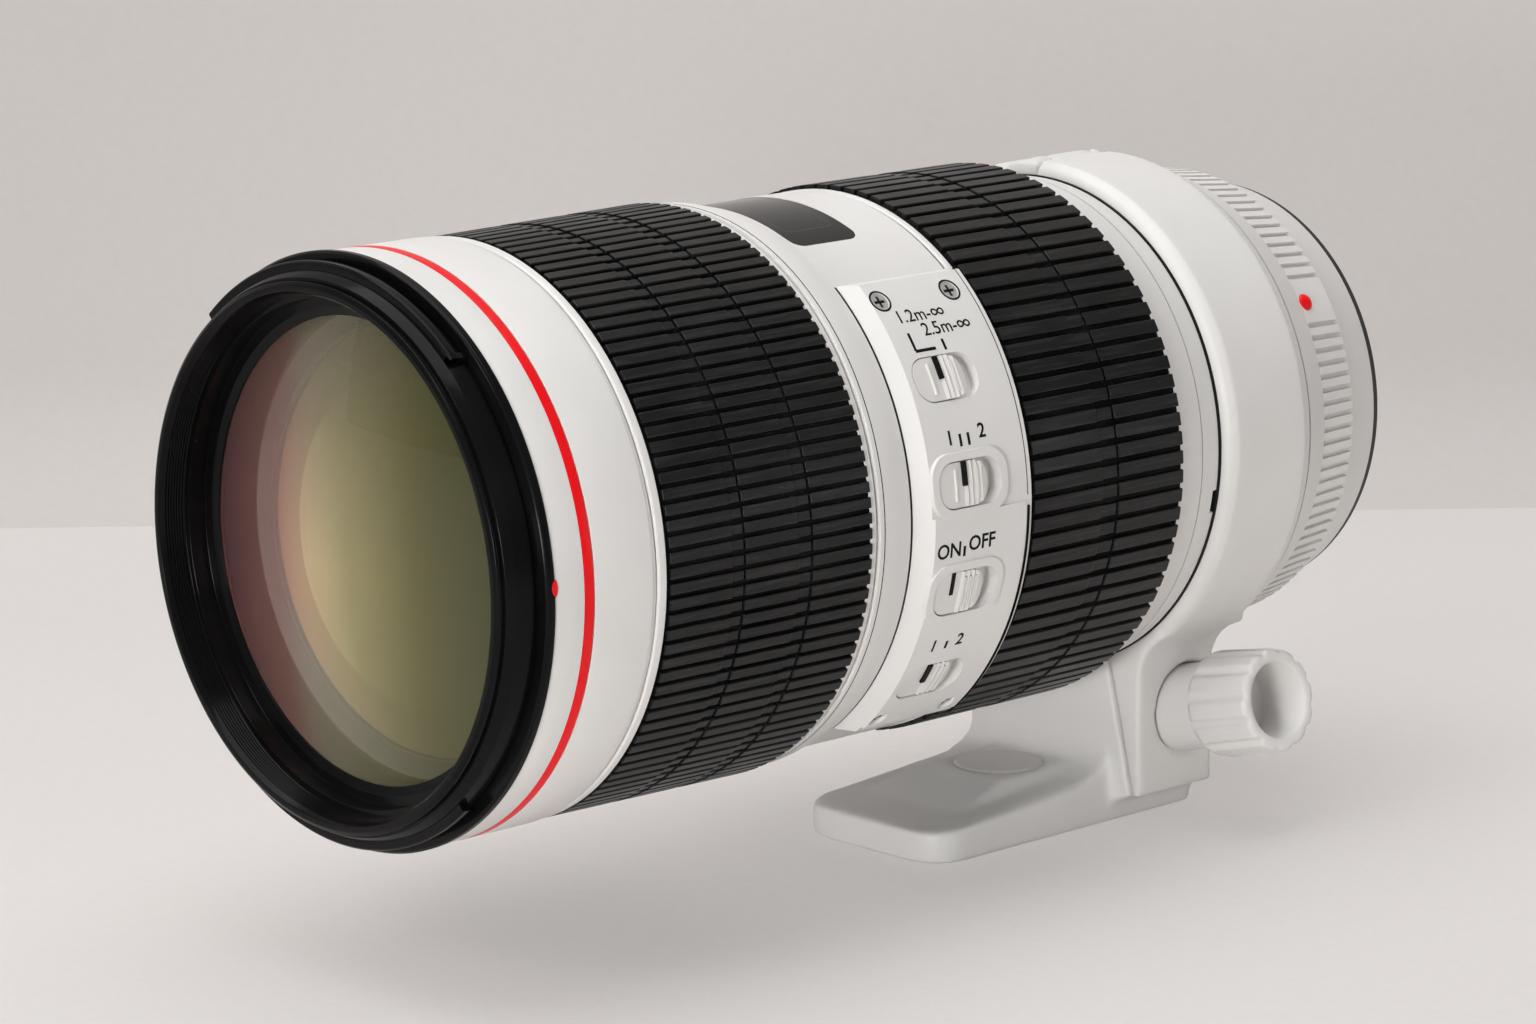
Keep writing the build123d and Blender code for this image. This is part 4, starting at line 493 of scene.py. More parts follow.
# Geometry Nodes: one row of equal bars round the barrel
def buildBarRow():
    tree, v, made = newGroup(
        "barRow", "GeometryNodeTree",
        {"Geometry": "Geometry", "Bars": "Int", "Front": "Float", "Rear": "Float", "Floor Radius": "Float",
         "Height": "Float", "Root": "Float", "Width": "Float", "Top Share": "Float", "Taper": "Float",
         "Material": "Material"}, {"Geometry": "Geometry"}, {"Root": 0.0003, "Top Share": 0.92})
    length = mathNode(tree, "SUBTRACT", v["Rear"], v["Front"])
    tall = mathNode(tree, "ADD", v["Height"], v["Root"])
    bar = addNode(tree, "GeometryNodeMeshCube", {"Size": combine(tree, length, v["Width"], tall)})
    x, y, z = separate(tree, tree.nodes.new("GeometryNodeInputPosition").outputs[0])
    isTop = mathNode(tree, "GREATER_THAN", z, 0.0)
    slim = mathNode(tree, "SUBTRACT", 1.0, v["Top Share"])
    share = mathNode(tree, "SUBTRACT", 1.0, mathNode(tree, "MULTIPLY", isTop, slim))
    narrow = combine(tree, x, mathNode(tree, "MULTIPLY", y, share), z)
    shaped = addNode(tree, "GeometryNodeSetPosition", {"Geometry": bar.outputs["Mesh"], "Position": narrow})
    middle = mathNode(tree, "MULTIPLY", mathNode(tree, "ADD", v["Rear"], v["Front"]), 0.5)
    half = mathNode(tree, "MULTIPLY", mathNode(tree, "SUBTRACT", v["Height"], v["Root"]), 0.5)
    level = mathNode(tree, "ADD", v["Floor Radius"], half)
    lift = combine(tree, middle, 0.0, level)
    placed = addNode(tree, "GeometryNodeTransform", {"Geometry": shaped.outputs[0], "Translation": lift})
    points = addNode(tree, "GeometryNodePoints", {"Count": v["Bars"]})
    index = tree.nodes.new("GeometryNodeInputIndex").outputs[0]
    angle = mathNode(tree, "DIVIDE", mathNode(tree, "MULTIPLY", index, 2 * pi), v["Bars"])
    turn = addNode(tree, "FunctionNodeEulerToRotation", {0: combine(tree, angle, 0.0, 0.0)})
    row = addNode(tree, "GeometryNodeInstanceOnPoints", {
        "Points": points.outputs[0], "Instance": placed.outputs[0], "Rotation": turn.outputs[0]})
    real = addNode(tree, "GeometryNodeRealizeInstances", {"Geometry": row.outputs[0]})
    x, y, z = separate(tree, tree.nodes.new("GeometryNodeInputPosition").outputs[0])
    unit = addNode(tree, "ShaderNodeVectorMath", {0: combine(tree, 0.0, y, z)}, operation="NORMALIZE")
    rise = mathNode(tree, "MULTIPLY", mathNode(tree, "SUBTRACT", x, v["Rear"]), v["Taper"])
    offset = addNode(tree, "ShaderNodeVectorMath", {0: unit.outputs[0], "Scale": rise}, operation="SCALE")
    sloped = addNode(tree, "GeometryNodeSetPosition", {"Geometry": real.outputs[0], "Offset": offset.outputs[0]})
    dressed = addNode(tree, "GeometryNodeSetMaterial",
                      {"Geometry": sloped.outputs[0], "Material": v["Material"]})
    tree.links.new(dressed.outputs[0], made[0])
    return tree


barRow = buildBarRow()


def meshOfTree(tree, values):
    holder = putInScene("treeHolder", bpy.data.meshes.new("treeHolder"))
    modifier = holder.modifiers.new("tree", "NODES")
    modifier.node_group = tree
    for item in tree.interface.items_tree:
        if item.item_type == "SOCKET" and item.in_out == "INPUT" and item.name in values:
            modifier[item.identifier] = values[item.name]
    return finishedMesh(holder)


def bevelled(piece, width, segments=2, angle=30):
    bevel = piece.modifiers.new("softEdges", "BEVEL")
    bevel.width = width * mm
    bevel.segments = segments
    bevel.limit_method = "ANGLE"
    bevel.angle_limit = radians(angle)
    bevel.harden_normals = True
    return piece


# Ribbed rubber: whole bars, each ending in a lower tab before the next one
focusGrip = {"bars": 120, "front": 28.5, "rear": 68.5, "floor": 43.6, "seat": 42.6, "height": 0.8, "width": 1.74,
             "taper": 0.015, "rows": [(29.3, 41.1), (43.6, 53.9), (56.65, 68.35)],
             "tabs": [(41.1, 43.3), (53.9, 56.35)], "tabHeight": 0.62, "tabWidth": 1.56, "bevel": (0.17, 2, 50)}
zoomGrip = {"bars": 90, "front": 102.45, "rear": 136.5, "floor": 42.7, "seat": 41.7, "height": 0.8, "width": 2.3,
            "taper": 0.0, "rows": [(103.2, 118.2), (121.9, 136.35)], "tabs": [(118.2, 121.6)],
            "tabHeight": 0.62, "tabWidth": 2.08, "bevel": (0.17, 2, 50)}


def makeGrip(name, grip, body, node):
    slope = grip["taper"]
    frontFloor = grip["floor"] - slope * (grip["rear"] - grip["front"])
    base = turned([(grip["front"], grip["seat"]), (grip["front"], frontFloor), (grip["rear"], grip["floor"]),
                   (grip["rear"], grip["seat"])])
    # the floor between the bars has the darker rubber: painted shade in the grooves
    addPiece(name + "Base", base, body, "grip_rubber", (), grooveShadeRubber)
    parts = []
    for rows, height, width in ((grip["rows"], grip["height"], grip["width"]),
                                (grip["tabs"], grip["tabHeight"], grip["tabWidth"])):
        for front, rear in rows:
            floor = grip["floor"] - slope * (grip["rear"] - rear)
            parts.append(meshOfTree(barRow, {
                "Bars": grip["bars"], "Front": along(front), "Rear": along(rear), "Floor Radius": floor * mm,
                "Height": height * mm, "Width": width * mm, "Taper": slope,
                "Material": materials["grip_rubber"]}))
    mesh = meshFrom(name, joined(*parts), 40)
    bevelled(addPiece(name, mesh, body, "grip_rubber", (node,)), *grip["bevel"])


makeGrip("focusRubber", focusGrip, "focus", "focus_grip")
makeGrip("zoomRubber", zoomGrip, "zoom", "zoom_grip")
print("grips built")


# Front ring: lip, thread, stepped baffle, hood lugs and flange
frontRing = {
    "lipAndFlange": [(0.0, 39.1), (0.0, 39.9), (0.35, 40.5), (0.9, 40.5), (1.05, 40.15), (1.25, 40.2),
                     (1.25, 40.95), (2.6, 41.85), (5.35, 42.25), (5.6, 42.1), (5.6, 41.8), (5.95, 41.8),
                     (5.95, 43.9), (6.35, 44.28), (7.35, 44.28), (7.6, 44.05), (7.6, 42.1), (14.0, 42.1)],
    "baffle": [(14.0, 37.0), (8.9, 37.0), (8.35, 34.65), (8.0, 34.65), (7.6, 36.0), (7.6, 37.5), (4.5, 37.5),
               (4.5, 38.5)],
    "threadStart": 0.9, "threadEnd": 4.4, "threadPitch": 0.5, "threadDepth": 0.16, "threadRadius": 38.5,
    "lugAngle": 41.0, "lugFront": 2.75, "lugRear": 4.25, "lugRadius": 43.2, "lugRoot": 41.0,
    "hookLength": 1.3, "hookRear": 5.7, "edge": 0.08, "steps": 320}


def lugOutline(ring, cut, rearTop, rearRoot):
    front, top, root = ring["lugFront"], ring["lugRadius"], ring["lugRoot"]
    return [(front, root), (front, top - cut), (front + cut, top), (rearTop, top), (rearRoot, root)]


def makeFrontRing(ring):
    points = ring["lipAndFlange"] + ring["baffle"]
    s = ring["threadEnd"]
    while s > ring["threadStart"] + ring["threadPitch"]:
        points.append((s, ring["threadRadius"]))
        points.append((s - ring["threadPitch"] / 2, ring["threadRadius"] + ring["threadDepth"]))
        s -= ring["threadPitch"]
    points.append((ring["threadStart"], ring["threadRadius"]))
    parts = [turned(points, edge=ring["edge"], steps=ring["steps"])]
    rear = ring["lugRear"]
    for side in (0, 180):
        parts.append(turned(lugOutline(ring, 0.3, rear, rear + 0.1), side - ring["lugAngle"],
                            2 * ring["lugAngle"], edge=ring["edge"]))
        # the stop step at the end of each lug
        parts.append(turned(lugOutline(ring, 0.2, ring["hookRear"], ring["hookRear"]),
                            side + ring["lugAngle"] - ring["hookLength"], ring["hookLength"],
                            edge=ring["edge"]))
    addPiece("frontRing", joined(*parts), "barrel", "black_ring", ("filter_ring",))


# Elements: stations of both faces on the axis, radius, and the radii of the two curves
elements = {"frontElement": {"node": "front_glass", "front": 4.584, "rear": 11.467, "radius": 37.0,
                             "frontCurve": 160.0, "rearCurve": 420.0, "material": materials["coated_glass"]},
            "secondElement": {"node": "second_glass", "front": 16.79, "rear": 25.173, "radius": 31.5,
                              "frontCurve": 120.0, "rearCurve": 600.0, "material": secondPaintedReflectionAndShade}}
funnelOutline = [(13.4, 36.95), (13.4, 36.6), (20.75, 31.35), (20.75, 31.75)]


def faceOf(apex, curve, radius, steps=24):
    reaches = [radius * step / steps for step in range(steps + 1)]
    return [(apex + (curve - sqrt(curve * curve - r * r)), r) for r in reaches]


def makeElements():
    for name, look in elements.items():
        front = faceOf(look["front"], look["frontCurve"], look["radius"])
        rear = faceOf(look["rear"], look["rearCurve"], look["radius"])
        glass = turned(front + rear[::-1], steps=192)
        addPiece(name, glass, "barrel", "coated_glass", (look["node"],), look["material"])
    addPiece("elementFunnel", turned(funnelOutline, steps=192), "barrel", "black_anodised", (), grooveShadeRubber)


makeFrontRing(frontRing)
makeElements()
print("front group built")


# Painted barrels and rings
barrels = {
    "frontBarrelShell": {
        "body": "barrel", "slot": "white_paint", "node": "front_barrel", "edge": 0.12,
        "outline": [(7.6, 42.1), (7.6, 44.0), (13.0, 44.0), (13.0, 43.4), (14.95, 43.4), (14.95, 44.0),
                    (25.75, 44.0), (25.95, 43.72), (26.45, 43.72), (26.55, 43.6), (26.55, 39.2), (14.0, 39.2),
                    (14.0, 42.1)]},
    "redStripe": {
        "body": "barrel", "slot": "red_paint", "node": "stripe_ring", "edge": 0.0,
        "outline": [(13.0, 43.4), (13.0, 44.0), (13.1, 44.03), (14.6, 44.03), (14.7, 44.0), (14.7, 43.4)]},
    "focusRingShell": {
        "body": "focus", "slot": "white_paint", "node": "focus_ring", "edge": 0.12,
        "outline": [(26.85, 39.28), (26.85, 43.6), (27.15, 43.85), (28.35, 43.85), (28.5, 43.7), (28.5, 42.6),
                    (68.5, 42.6), (68.5, 43.7), (68.65, 43.85), (69.55, 43.85), (69.85, 43.6), (69.85, 39.28),
                    (66.85, 39.28), (66.85, 41.18), (29.85, 41.18), (29.85, 39.28)]}}

for name, shell in barrels.items():
    addPiece(name, turned(shell["outline"], edge=shell["edge"]), shell["body"], shell["slot"], (shell["node"],))
print("barrels built")


# CAD pieces that keep their shape get welded, smoothed and softened
weldDistance = 0.000002


def buildSmoothSkin():
    tree, given, made = newGroup("smoothSkin", "GeometryNodeTree", {"Geometry": "Geometry", "Sharp": "Float"},
                                 {"Geometry": "Geometry"}, {"Sharp": 0.5})
    merged = addNode(tree, "GeometryNodeMergeByDistance", {"Geometry": given[0], "Distance": weldDistance})
    smooth = addNode(tree, "GeometryNodeSetShadeSmooth", {"Geometry": merged.outputs[0]}, domain="FACE")
    angle = tree.nodes.new("GeometryNodeInputMeshEdgeAngle").outputs[0]
    isSharp = mathNode(tree, "GREATER_THAN", angle, given["Sharp"])
    creased = addNode(tree, "GeometryNodeSetShadeSmooth", {"Geometry": smooth.outputs[0], "Selection": isSharp,
                                                           "Shade Smooth": False}, domain="EDGE")
    tree.links.new(creased.outputs[0], made[0])
    return tree


smoothSkin = buildSmoothSkin()
softEdges = {"switch_panel": 0.18, "focus_limit_switch": 0.15, "focus_mode_switch": 0.15,
             "stabilizer_switch": 0.15, "stabilizer_mode_switch": 0.15, "foot_cap": 0.12, "lens_mount": 0.12}


def dressCadNodes():
    for name, node in cadNodes.items():
        node.data.materials.clear()
        node.data.materials.append(materials[slotOfNode[name]])
        for attribute in ("custom_normal", "sharp_face", "sharp_edge"):
            if attribute in node.data.attributes:
                node.data.attributes.remove(node.data.attributes[attribute])
        skin = node.modifiers.new("smoothSkin", "NODES")
        skin.node_group = smoothSkin
        if name in softEdges:
            bevelled(node, softEdges[name], 2, 40)


dressCadNodes()
print("CAD pieces dressed")


# Castings with soft edges: remeshed from the CAD solid, the plate smoothed more than the rest
footCasting = {"voxel": 0.5, "rounds": 26, "factor": 0.5, "plateTop": -57.0, "restWeight": 0.4, "fadeHeight": 6.0,
               "front": 108.45, "rear": 160.0, "halfWidth": 16.3, "corner": 6.5, "bottom": -65.2,
               "frontThickness": 5.4, "thicknessPerLength": 0.0498}
bandCasting = {"voxel": 0.5, "rounds": 24, "factor": 0.5, "plateTop": -41.0, "restWeight": 0.4, "fadeHeight": 4.0}
hingeCover = {"start": 350.5, "sweep": 9.2,
              "outline": [(148.45, 38.75), (148.45, 42.2), (148.75, 42.5), (150.9, 42.5), (150.9, 38.75)]}
collarRing = {"radius": 42.46, "reach": 0.3, "low": -22.0, "edgeTilt": 0.55, "tiltFade": 0.35}


def roundedPlate(plate):
    bm = bmesh.new()
    outline = [(plate["rear"], -plate["halfWidth"]), (plate["rear"], plate["halfWidth"])]
    for side in (1, -1):
        for step in range(9):
            turn = pi / 2 * (step / 8 if side > 0 else 1 - step / 8)
            outline.append((plate["front"] + plate["corner"] * (1 - sin(turn)),
                            side * (plate["halfWidth"] - plate["corner"] * (1 - cos(turn)))))
    low, high = [], []
    for station, y in outline:
        thickness = plate["frontThickness"] + (station - plate["front"]) * plate["thicknessPerLength"]
        low.append(bm.verts.new((along(station), y * mm, plate["bottom"] * mm)))
        high.append(bm.verts.new((along(station), y * mm, (plate["bottom"] + thickness) * mm)))
    bm.faces.new(low)
    bm.faces.new(high)
    for index in range(len(low)):
        following = (index + 1) % len(low)
        bm.faces.new((low[index], low[following], high[following], high[index]))
    bmesh.ops.recalc_face_normals(bm, faces=bm.faces)
    return bm


# The outside of the collar goes back to an even radius after the smoothing
def trueRing(mesh, ring):
    tilts = [abs(vertex.normal.x) for vertex in mesh.vertices]
    for vertex, tilt in zip(mesh.vertices, tilts):
        radius = sqrt(vertex.co.y ** 2 + vertex.co.z ** 2) / mm
        if abs(radius - ring["radius"]) < ring["reach"] and vertex.co.z / mm > ring["low"]:
            share = min(1.0, max(0.0, (ring["edgeTilt"] - tilt) / ring["tiltFade"]))
            scale = 1 + share * (ring["radius"] / radius - 1)
            vertex.co.y *= scale
            vertex.co.z *= scale


def makeSoftCasting(name, node, body, look, *extras):
    solid = bmesh.new()
    solid.from_mesh(cadNodes[node].data)
    bmesh.ops.remove_doubles(solid, verts=solid.verts, dist=weldDistance)
    bm = joined(solid, *extras)
    source = bpy.data.meshes.new(name)
    bm.to_mesh(source)
    bm.free()
    holder = putInScene(name + "Source", source)
    remesh = holder.modifiers.new("remesh", "REMESH")
    remesh.mode = "VOXEL"
    remesh.voxel_size = look["voxel"] * mm
    dense = finishedMesh(holder)
    holder = putInScene(name + "Dense", dense)
    weights = holder.vertex_groups.new(name="plate")
    for vertex in dense.vertices:
        rise = (vertex.co.z / mm - look["plateTop"]) / look["fadeHeight"]
        share = min(1.0, max(look["restWeight"], 1.0 - rise))
        weights.add([vertex.index], share, "REPLACE")
    smooth = holder.modifiers.new("smooth", "SMOOTH")
    smooth.factor = look["factor"]
    smooth.iterations = look["rounds"]
    smooth.vertex_group = "plate"
    mesh = finishedMesh(holder)
    trueRing(mesh, collarRing)
    mesh.shade_smooth()
    addPiece(name, mesh, body, slotOfNode[node], (node,))


makeSoftCasting("footCasting", "collar_foot", "foot", footCasting, roundedPlate(footCasting),
                turned(hingeCover["outline"], hingeCover["start"], hingeCover["sweep"]))
makeSoftCasting("bandCasting", "collar_band", "band", bandCasting)
print("castings softened")


# Clamp knob: a fluted cap on the screw's axis
knobLook = {"x": -33.05, "y": -22.6, "z": -46.6, "outY": -0.97358, "outZ": 0.22835, "start": 7.5, "end": 20.2,
            "radius": 8.75, "endRadius": 8.35, "bore": 6.2, "boreEnd": 11.0, "boreTaper": 0.1, "flutes": 12,
            "depth": 0.62, "landShare": 0.5, "edge": 0.8, "steps": 240, "sideStart": 1.2, "sideSteps": 8,
            "foot": [(0.0, -1.1, 0.0), (0.5, -0.2, 0.35)], "rim": [(-0.25, -0.18, 0.85), (0.0, -0.65, 0.45)],
            "mouth": [(0.0, 0.35), (-0.35, 0.0)]}


# From the knob's foot to the floor of its bore: place on the axis, radius, share of the flutes' depth
def knobRings(look):
    start, end = look["start"], look["end"]
    rings = [(start + place, look["radius"] + grow, share) for place, grow, share in look["foot"]]
    length = end - start - look["sideStart"] - look["edge"]
    for step in range(look["sideSteps"] + 1):
        share = step / look["sideSteps"]
        radius = look["radius"] + (look["endRadius"] - look["radius"]) * share
        rings.append((start + look["sideStart"] + length * share, radius, min(1.0, 0.7 + share * 3)))
    rings += [(end + place, look["endRadius"] + grow, share) for place, grow, share in look["rim"]]
    rings += [(end + place, look["bore"] + grow, 0.0) for place, grow in look["mouth"]]
    return rings + [(look["boreEnd"], look["bore"] - look["boreTaper"], 0.0)]


def makeKnob(look):
    out = Vector((0, look["outY"], look["outZ"])).normalized()
    across = Vector((1, 0, 0))
    rise = out.cross(across)
    origin = Vector((look["x"], look["y"], look["z"])) * mm
    steps = look["steps"]
    bm = bmesh.new()
    rings = [[bm.verts.new(origin + out * look["start"] * mm)] * steps]
    for place, radius, fluteShare in knobRings(look):
        ring = []
        for step in range(steps):
            turn = 2 * pi * step / steps
            phase = abs((turn * look["flutes"] / (2 * pi)) % 1 - 0.5) * 2
            hollow = max(0.0, (1 - phase) - look["landShare"]) / (1 - look["landShare"])
            reach = radius - look["depth"] * fluteShare * sin(hollow * pi / 2) ** 1.3
            ring.append(bm.verts.new(origin + (out * place + across * reach * cos(turn)
                                               + rise * reach * sin(turn)) * mm))
        rings.append(ring)
    rings.append([bm.verts.new(origin + out * look["boreEnd"] * mm)] * steps)
    for near, far in zip(rings, rings[1:]):
        for step in range(steps):
            following = (step + 1) % steps
            # the first and last ring are one vertex, so there the four corners are three
            corners = dict.fromkeys((near[step], near[following], far[following], far[step]))
            bm.faces.new(list(corners))
    bmesh.ops.recalc_face_normals(bm, faces=bm.faces)
    addPiece("knobCap", meshFrom("knobCap", bm, 50), "knob", slotOfNode["clamp_knob"], ("clamp_knob",))


makeKnob(knobLook)


# Painted shade: dark rings in the gaps between the rings stand in for their shadow, and thin painted shadow lines:
# front, rear, low, high, start angle, sweep
seams = {"gaps": [(26.56, 26.84, 39.5, 43.2), (69.86, 70.14, 41.5, 43.3), (101.06, 101.34, 41.0, 42.45),
                  (143.26, 143.54, 39.5, 40.75), (147.96, 148.43, 39.0, 40.4)],
         "lines": [(71.2, 71.36, 43.5, 43.92), (100.15, 100.3, 44.5, 44.92, 40.5, 48.0),
                   (100.15, 100.3, 44.8, 45.27, 90.5, 52.0)],
         "panelFoot": [(77.5, 42.6), (77.5, 42.95), (77.98, 42.84), (77.98, 42.6)], "panelAngles": (38.7, 105.1)}


def makeSeams(look):
    # painted shade: dark rings fill the gaps, and thin dark lines draw shadows along the panel and the rims
    gaps = [turnedBar(*gap) for gap in look["gaps"]]
    addPiece("ringGapShade", joined(*gaps), "barrel", "gasket_rubber", (), materials["ink"])
    lines = [turned(look["panelFoot"], *look["panelAngles"])] + [turnedBar(*line) for line in look["lines"]]
    addPiece("panelShadowLines", joined(*lines), "barrel", "ink")


makeSeams(seams)
print("knob and seams built")


# Printed marks. Words: text, station, angle, on the raised step, size. Ticks: station, width, angle, length, raised
panelMarks = {"radii": (44.9, 45.25), "ink": 0.025, "sunk": 0.05, "bold": 0.055, "thinBold": 0.0165,
              "thickness": 0.015, "lift": 0.02,
              "words": [("1.2m-∞", 88.1, 49.8, False, 3.1), ("2.5m-∞", 92.0, 53.2, False, 3.1),
                        ("1", 85.3, 75.0, False, 3.1), ("2", 92.0, 74.6, False, 3.1),
                        ("ON", 83.5, 96.4, True, 3.2), ("OFF", 90.3, 95.8, True, 3.2),
                        ("1", 84.6, 117.0, True, 3.0), ("2", 90.0, 116.6, True, 3.0)],
              "ticks": [(89.9, 0.5, 56.7, 1.8, False), (87.4, 0.5, 75.6, 1.9, False),
                        (89.1, 0.5, 75.6, 1.9, False), (86.7, 0.5, 96.9, 1.6, True),
                        (87.3, 0.5, 117.2, 1.4, True), (83.9, 0.5, 55.2, 3.0, False),
                        (85.9, 4.2, 57.2, 0.5, False)]}


def bendOnBarrel(mesh, station, angle, radius):
    for vertex in mesh.vertices:
        x, y, z = vertex.co
        vertex.co = onBarrel(station + x, radius + z, angle - degrees(y / radius))


def printWord(marks, words, size, station, angle, radius):
    curve = bpy.data.curves.new("mark", "FONT")
    curve.body = words
    curve.size = size
    curve.extrude = marks["thickness"]
    curve.offset = marks["thinBold"] if "∞" in words else marks["bold"]
    curve.resolution_u = 3
    curve.align_x = "CENTER"
    curve.align_y = "CENTER"
    mesh = finishedMesh(putInScene("mark", curve))
    bendOnBarrel(mesh, station, angle, radius + marks["lift"])
    return mesh


def makePanelMarks(marks):
    parts = []
    for words, station, angle, raised, size in marks["words"]:
        radius = marks["radii"][raised]
        parts.append(printWord(marks, words, size, station, angle, radius))
    for station, width, angle, length, raised in marks["ticks"]:
        radius = marks["radii"][raised]
        sweep = degrees(length / radius)
        parts.append(turnedBar(station - width / 2, station + width / 2, radius - marks["sunk"],
                               radius + marks["ink"], angle - sweep / 2, sweep))
    addPiece("panelMarks", joined(*parts), "barrel", "ink")


# Switch levers: angle and lift of each, its index line's station and rise, and its ridges' stations
switchLook = {"line": 0.85, "lineFrom": -4.3, "lineSweep": 4.6, "lineSunk": 0.1, "top": 44.98,
              "ridgeWidth": 0.62, "ridgeTop": 0.6, "ridgeRise": 0.34, "ridgeSunk": 0.2, "ridgeHalf": 3.1,
              "edge": 0.1, "bevel": 0.12,
              "switches": {"focus_limit_switch": (63.2, 0.0, 86.6, 0.4, (84.7, 89.4)),
                           "focus_mode_switch": (83.9, 0.35, 86.6, 0.4, (84.8, 89.3)),
                           "stabilizer_switch": (105.2, 0.35, 84.9, 0.05, (87.4, 88.5, 89.6)),
                           "stabilizer_mode_switch": (126.3, 0.0, 86.0, 0.4, (88.2, 89.4))}}


def makeSwitchDetails(look):
    halfLine, half = look["line"] / 2, look["ridgeWidth"] / 2
    for name, (angle, lift, lineStation, lineRise, ridgeStations) in look["switches"].items():
        top = look["top"] + lift
        line = turnedBar(lineStation - halfLine, lineStation + halfLine, top - look["lineSunk"], top + lineRise,
                         angle + look["lineFrom"], look["lineSweep"])
        addPiece(name.replace("_switch", "_line"), line, name, "ink")
        low, high, slim = top - look["ridgeSunk"], top + look["ridgeRise"], half * look["ridgeTop"]
        ridges = [turned([(s - half, low), (s - slim, high), (s + slim, high), (s + half, low)],
                         angle - look["ridgeHalf"], 2 * look["ridgeHalf"], edge=look["edge"])
                  for s in ridgeStations]
        bevelled(addPiece(name.replace("_switch", "_ridges"), joined(*ridges), name, slotOfNode[name]), look["bevel"])


# Dark rings and crosses of the panel's countersunk screws
screwLook = {"stations": (82.05, 96.55), "angles": (45.5, 137.0), "level": 44.9, "steps": 40,
             "rings": [(1.95, -0.06), (1.95, 0.02), (1.62, 0.02), (1.62, -0.2)],
             "crossLength": 2.1, "crossWidth": 0.5, "crossThickness": 0.08, "crossLevel": -0.34}


def screwMark(look, station, angle):
    bm = bmesh.new()
    steps = look["steps"]
    rings = []
    for radius, level in look["rings"]:
        turns = [2 * pi * step / steps for step in range(steps)]
        rings.append([bm.verts.new((radius * cos(turn), radius * sin(turn), level)) for turn in turns])
    for near, far in zip(rings, rings[1:] + rings[:1]):
        for step in range(steps):
            following = (step + 1) % steps
            bm.faces.new((near[step], near[following], far[following], far[step]))
    long, wide = look["crossLength"], look["crossWidth"]
    for length, width in ((long, wide), (wide, long)):
        size = Matrix.Diagonal((length, width, look["crossThickness"], 1))
        bmesh.ops.create_cube(bm, size=1, matrix=Matrix.Translation((0, 0, look["crossLevel"])) @ size)
    bmesh.ops.recalc_face_normals(bm, faces=bm.faces)
    mesh = bpy.data.meshes.new("screwMarks")
    bm.to_mesh(mesh)
    bm.free()
    bendOnBarrel(mesh, station, angle, look["level"])
    return mesh


def makeScrewMarks(look):
    parts = [screwMark(look, station, angle) for station in look["stations"] for angle in look["angles"]]
    addPiece("screwMarks", joined(*parts), "barrel", "ink")


# Red half domes: the hood's mark and the mount's raised dot
domes = {"hoodDot": {"station": 7.35, "angle": 87.9, "radius": 44.15, "halfLength": 0.65, "halfWidth": 1.35,
                     "rise": 0.2, "nodes": ()},
         "mountDome": {"station": 176.35, "angle": 59.0, "radius": 38.3, "halfLength": 1.5, "halfWidth": 1.5,
                       "rise": 0.95, "nodes": ("mount_dot",)}}


def makeDome(name, mark):
    bm = bmesh.new()
    bmesh.ops.create_uvsphere(bm, u_segments=40, v_segments=24, radius=1.0)
    bmesh.ops.bisect_plane(bm, geom=bm.verts[:] + bm.edges[:] + bm.faces[:], plane_co=(0, 0, 0),
                           plane_no=(0, 0, 1), clear_inner=True)
    bmesh.ops.contextual_create(bm, geom=[edge for edge in bm.edges if edge.is_boundary])
    bmesh.ops.recalc_face_normals(bm, faces=bm.faces)
    for vertex in bm.verts:
        x, y, z = vertex.co
        turn = mark["angle"] - degrees(y * mark["halfWidth"] / mark["radius"])
        vertex.co = onBarrel(mark["station"] + x * mark["halfLength"], mark["radius"] + z * mark["rise"], turn)
    addPiece(name, bm, "barrel", "red_paint", mark["nodes"])


makePanelMarks(panelMarks)
makeSwitchDetails(switchLook)
makeScrewMarks(screwLook)
for name, mark in domes.items():
    makeDome(name, mark)
print("marks printed")


# Pale studio: table, wall behind it and soft lamps
studio = {"floorLevel": -65.2, "size": 2400.0, "wallDistance": 262.0, "wallHeight": 900.0, "coveRadius": 30.0,
          "coveLift": 0.2, "coveSteps": 8, "floorColor": (0.80, 0.765, 0.745), "floorGrain": 700.0,
          "wallColor": (0.71, 0.675, 0.652), "wallGrain": 500.0, "grainShade": 0.955, "rough": 0.85,
          "specular": 0.15, "glow": 0.88, "glowShare": 0.5, "touching": 0.0003, "world": 0.25,
          "worldColor": (1.0, 0.985, 0.97)}
lamps = {"overhead": {"place": (-230, 90, 900), "aim": (-90, 0, 0), "size": 1100, "watts": 8.2},
         "frontLeft": {"place": (-800, -60, 520), "aim": (-120, 0, 0), "size": 220, "watts": 1.1},
         "footFront": {"place": (-690, -330, 30), "aim": (-70, -10, -75), "size": 160, "watts": 0.12, "spread": 40},
         "knobSide": {"place": (110, -290, 25), "aim": (-45, -10, -55), "size": 90, "watts": 0.04}}


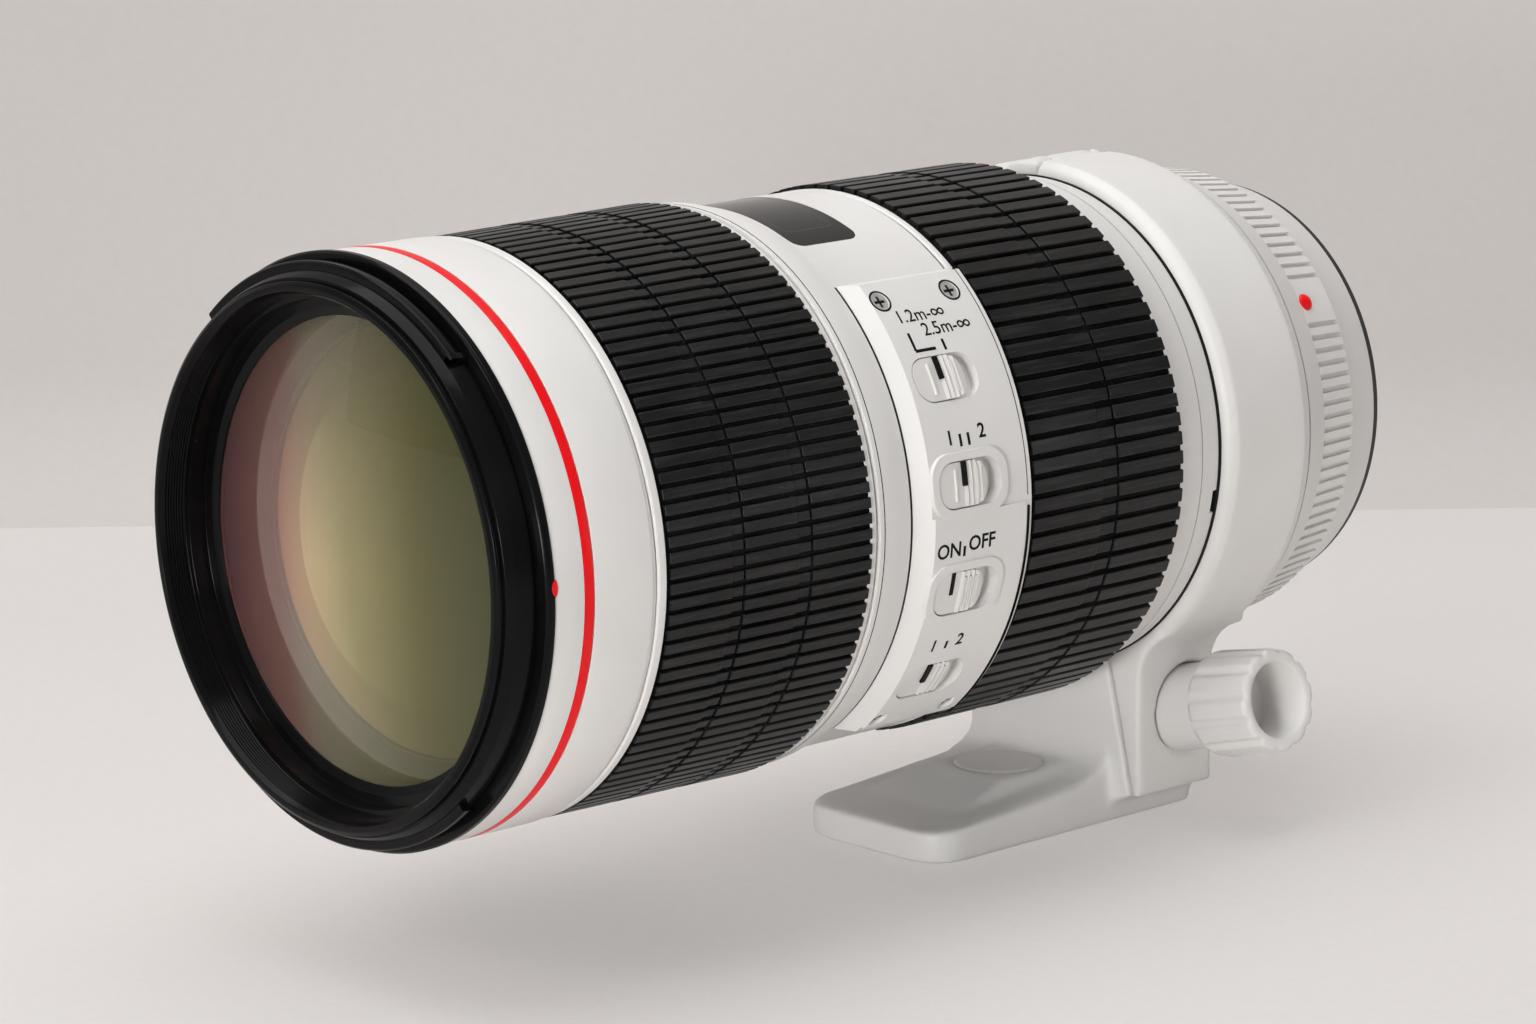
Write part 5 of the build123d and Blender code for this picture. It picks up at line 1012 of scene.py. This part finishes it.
def paperMaterial(name, color, grain, room):
    material, tree, shader, place = newMaterial(name)
    both = mathNode(tree, "ADD", noise(tree, place, grain, 5.0), noise(tree, place, 6.0, 2.0))
    dark = tuple(c * room["grainShade"] for c in color)
    paper = mixColor(tree, remap(tree, both, 0.6, 1.4), (*dark, 1), (*color, 1))
    setInputs(tree, shader, {"Base Color": paper, "Roughness": room["rough"], "Specular IOR Level": room["specular"]})
    # part of what is seen is the paper's own tone, which keeps the shadow light
    rays = tree.nodes.new("ShaderNodeLightPath").outputs
    seen = mathNode(tree, "MAXIMUM", rays["Is Camera Ray"], rays["Is Glossy Ray"])
    seen = mathNode(tree, "MAXIMUM", seen, rays["Is Transmission Ray"])
    tone = addNode(tree, "ShaderNodeEmission", {"Color": paper, "Strength": room["glow"]})
    lit = mixShader(tree, mathNode(tree, "MULTIPLY", seen, room["glowShare"]), shader, tone)
    # seen from below or from behind the paper is clear, and so it is to what rests on it
    behind = tree.nodes.new("ShaderNodeNewGeometry").outputs["Backfacing"]
    touching = mathNode(tree, "LESS_THAN", rays["Ray Length"], room["touching"])
    clear = tree.nodes.new("ShaderNodeBsdfTransparent")
    whole = mixShader(tree, mathNode(tree, "MAXIMUM", behind, touching), lit, clear)
    tree.links.new(whole.outputs[0], tree.nodes["Material Output"].inputs["Surface"])
    return material


def stageSheet(name, points, faces, material, facing):
    mesh = bpy.data.meshes.new(name)
    mesh.from_pydata([tuple(point) for point in points], [], faces)
    mesh.shade_smooth()
    if mesh.polygons[-1].normal.dot(facing) < 0:
        mesh.flip_normals()
    mesh.materials.append(material)
    putInScene(name, mesh)


def makeStudio(room):
    ahead = Vector((-viewBack.x, -viewBack.y, 0)).normalized()
    side = Vector((ahead.y, -ahead.x, 0))
    target = Vector(cameraFit["target"]) * mm
    target.z = room["floorLevel"] * mm
    reach = room["size"] * mm
    corners = [target + ahead * a + side * b
               for a, b in ((-reach, -reach), (-reach, reach), (reach, reach), (reach, -reach))]
    paper = paperMaterial("tablePaper", room["floorColor"], room["floorGrain"], room)
    stageSheet("tableTop", corners, [(0, 1, 2, 3)], paper, Vector((0, 0, 1)))
    # the wall curves up from just above the table
    radius = room["coveRadius"] * mm
    base = target + ahead * (room["wallDistance"] * mm)
    path = []
    for step in range(room["coveSteps"] + 1):
        angle = pi / 2 * step / room["coveSteps"]
        rise = room["coveLift"] * mm + radius * (1 - cos(angle))
        path.append(base + ahead * (radius * sin(angle) - radius) + Vector((0, 0, rise)))
    path.append(base + Vector((0, 0, room["wallHeight"] * mm)))
    points = [point + side * b for point in path for b in (-reach, reach)]
    faces = [(2 * k, 2 * k + 1, 2 * k + 3, 2 * k + 2) for k in range(len(path) - 1)]
    paper = paperMaterial("wallPaper", room["wallColor"], room["wallGrain"], room)
    stageSheet("wall", points, faces, paper, -ahead)
    world = bpy.data.worlds.new("softRoom")
    world.use_nodes = True
    background = world.node_tree.nodes["Background"]
    setInputs(world.node_tree, background, {"Color": (*room["worldColor"], 1), "Strength": room["world"]})
    bpy.context.scene.world = world


def makeLamps():
    for name, lamp in lamps.items():
        light = bpy.data.lights.new(name, "AREA")
        light.shape = "DISK"
        light.size = lamp["size"] * mm
        light.energy = lamp["watts"]
        light.spread = radians(lamp.get("spread", 180))
        place, aim = Vector(lamp["place"]) * mm, Vector(lamp["aim"]) * mm
        turn = (place - aim).to_track_quat("Z", "Y").to_matrix().to_4x4()
        putInScene(name, light).matrix_world = Matrix.Translation(place) @ turn


makeStudio(studio)
makeLamps()
bpy.context.scene.view_settings.view_transform = "Standard"
print("studio lit")
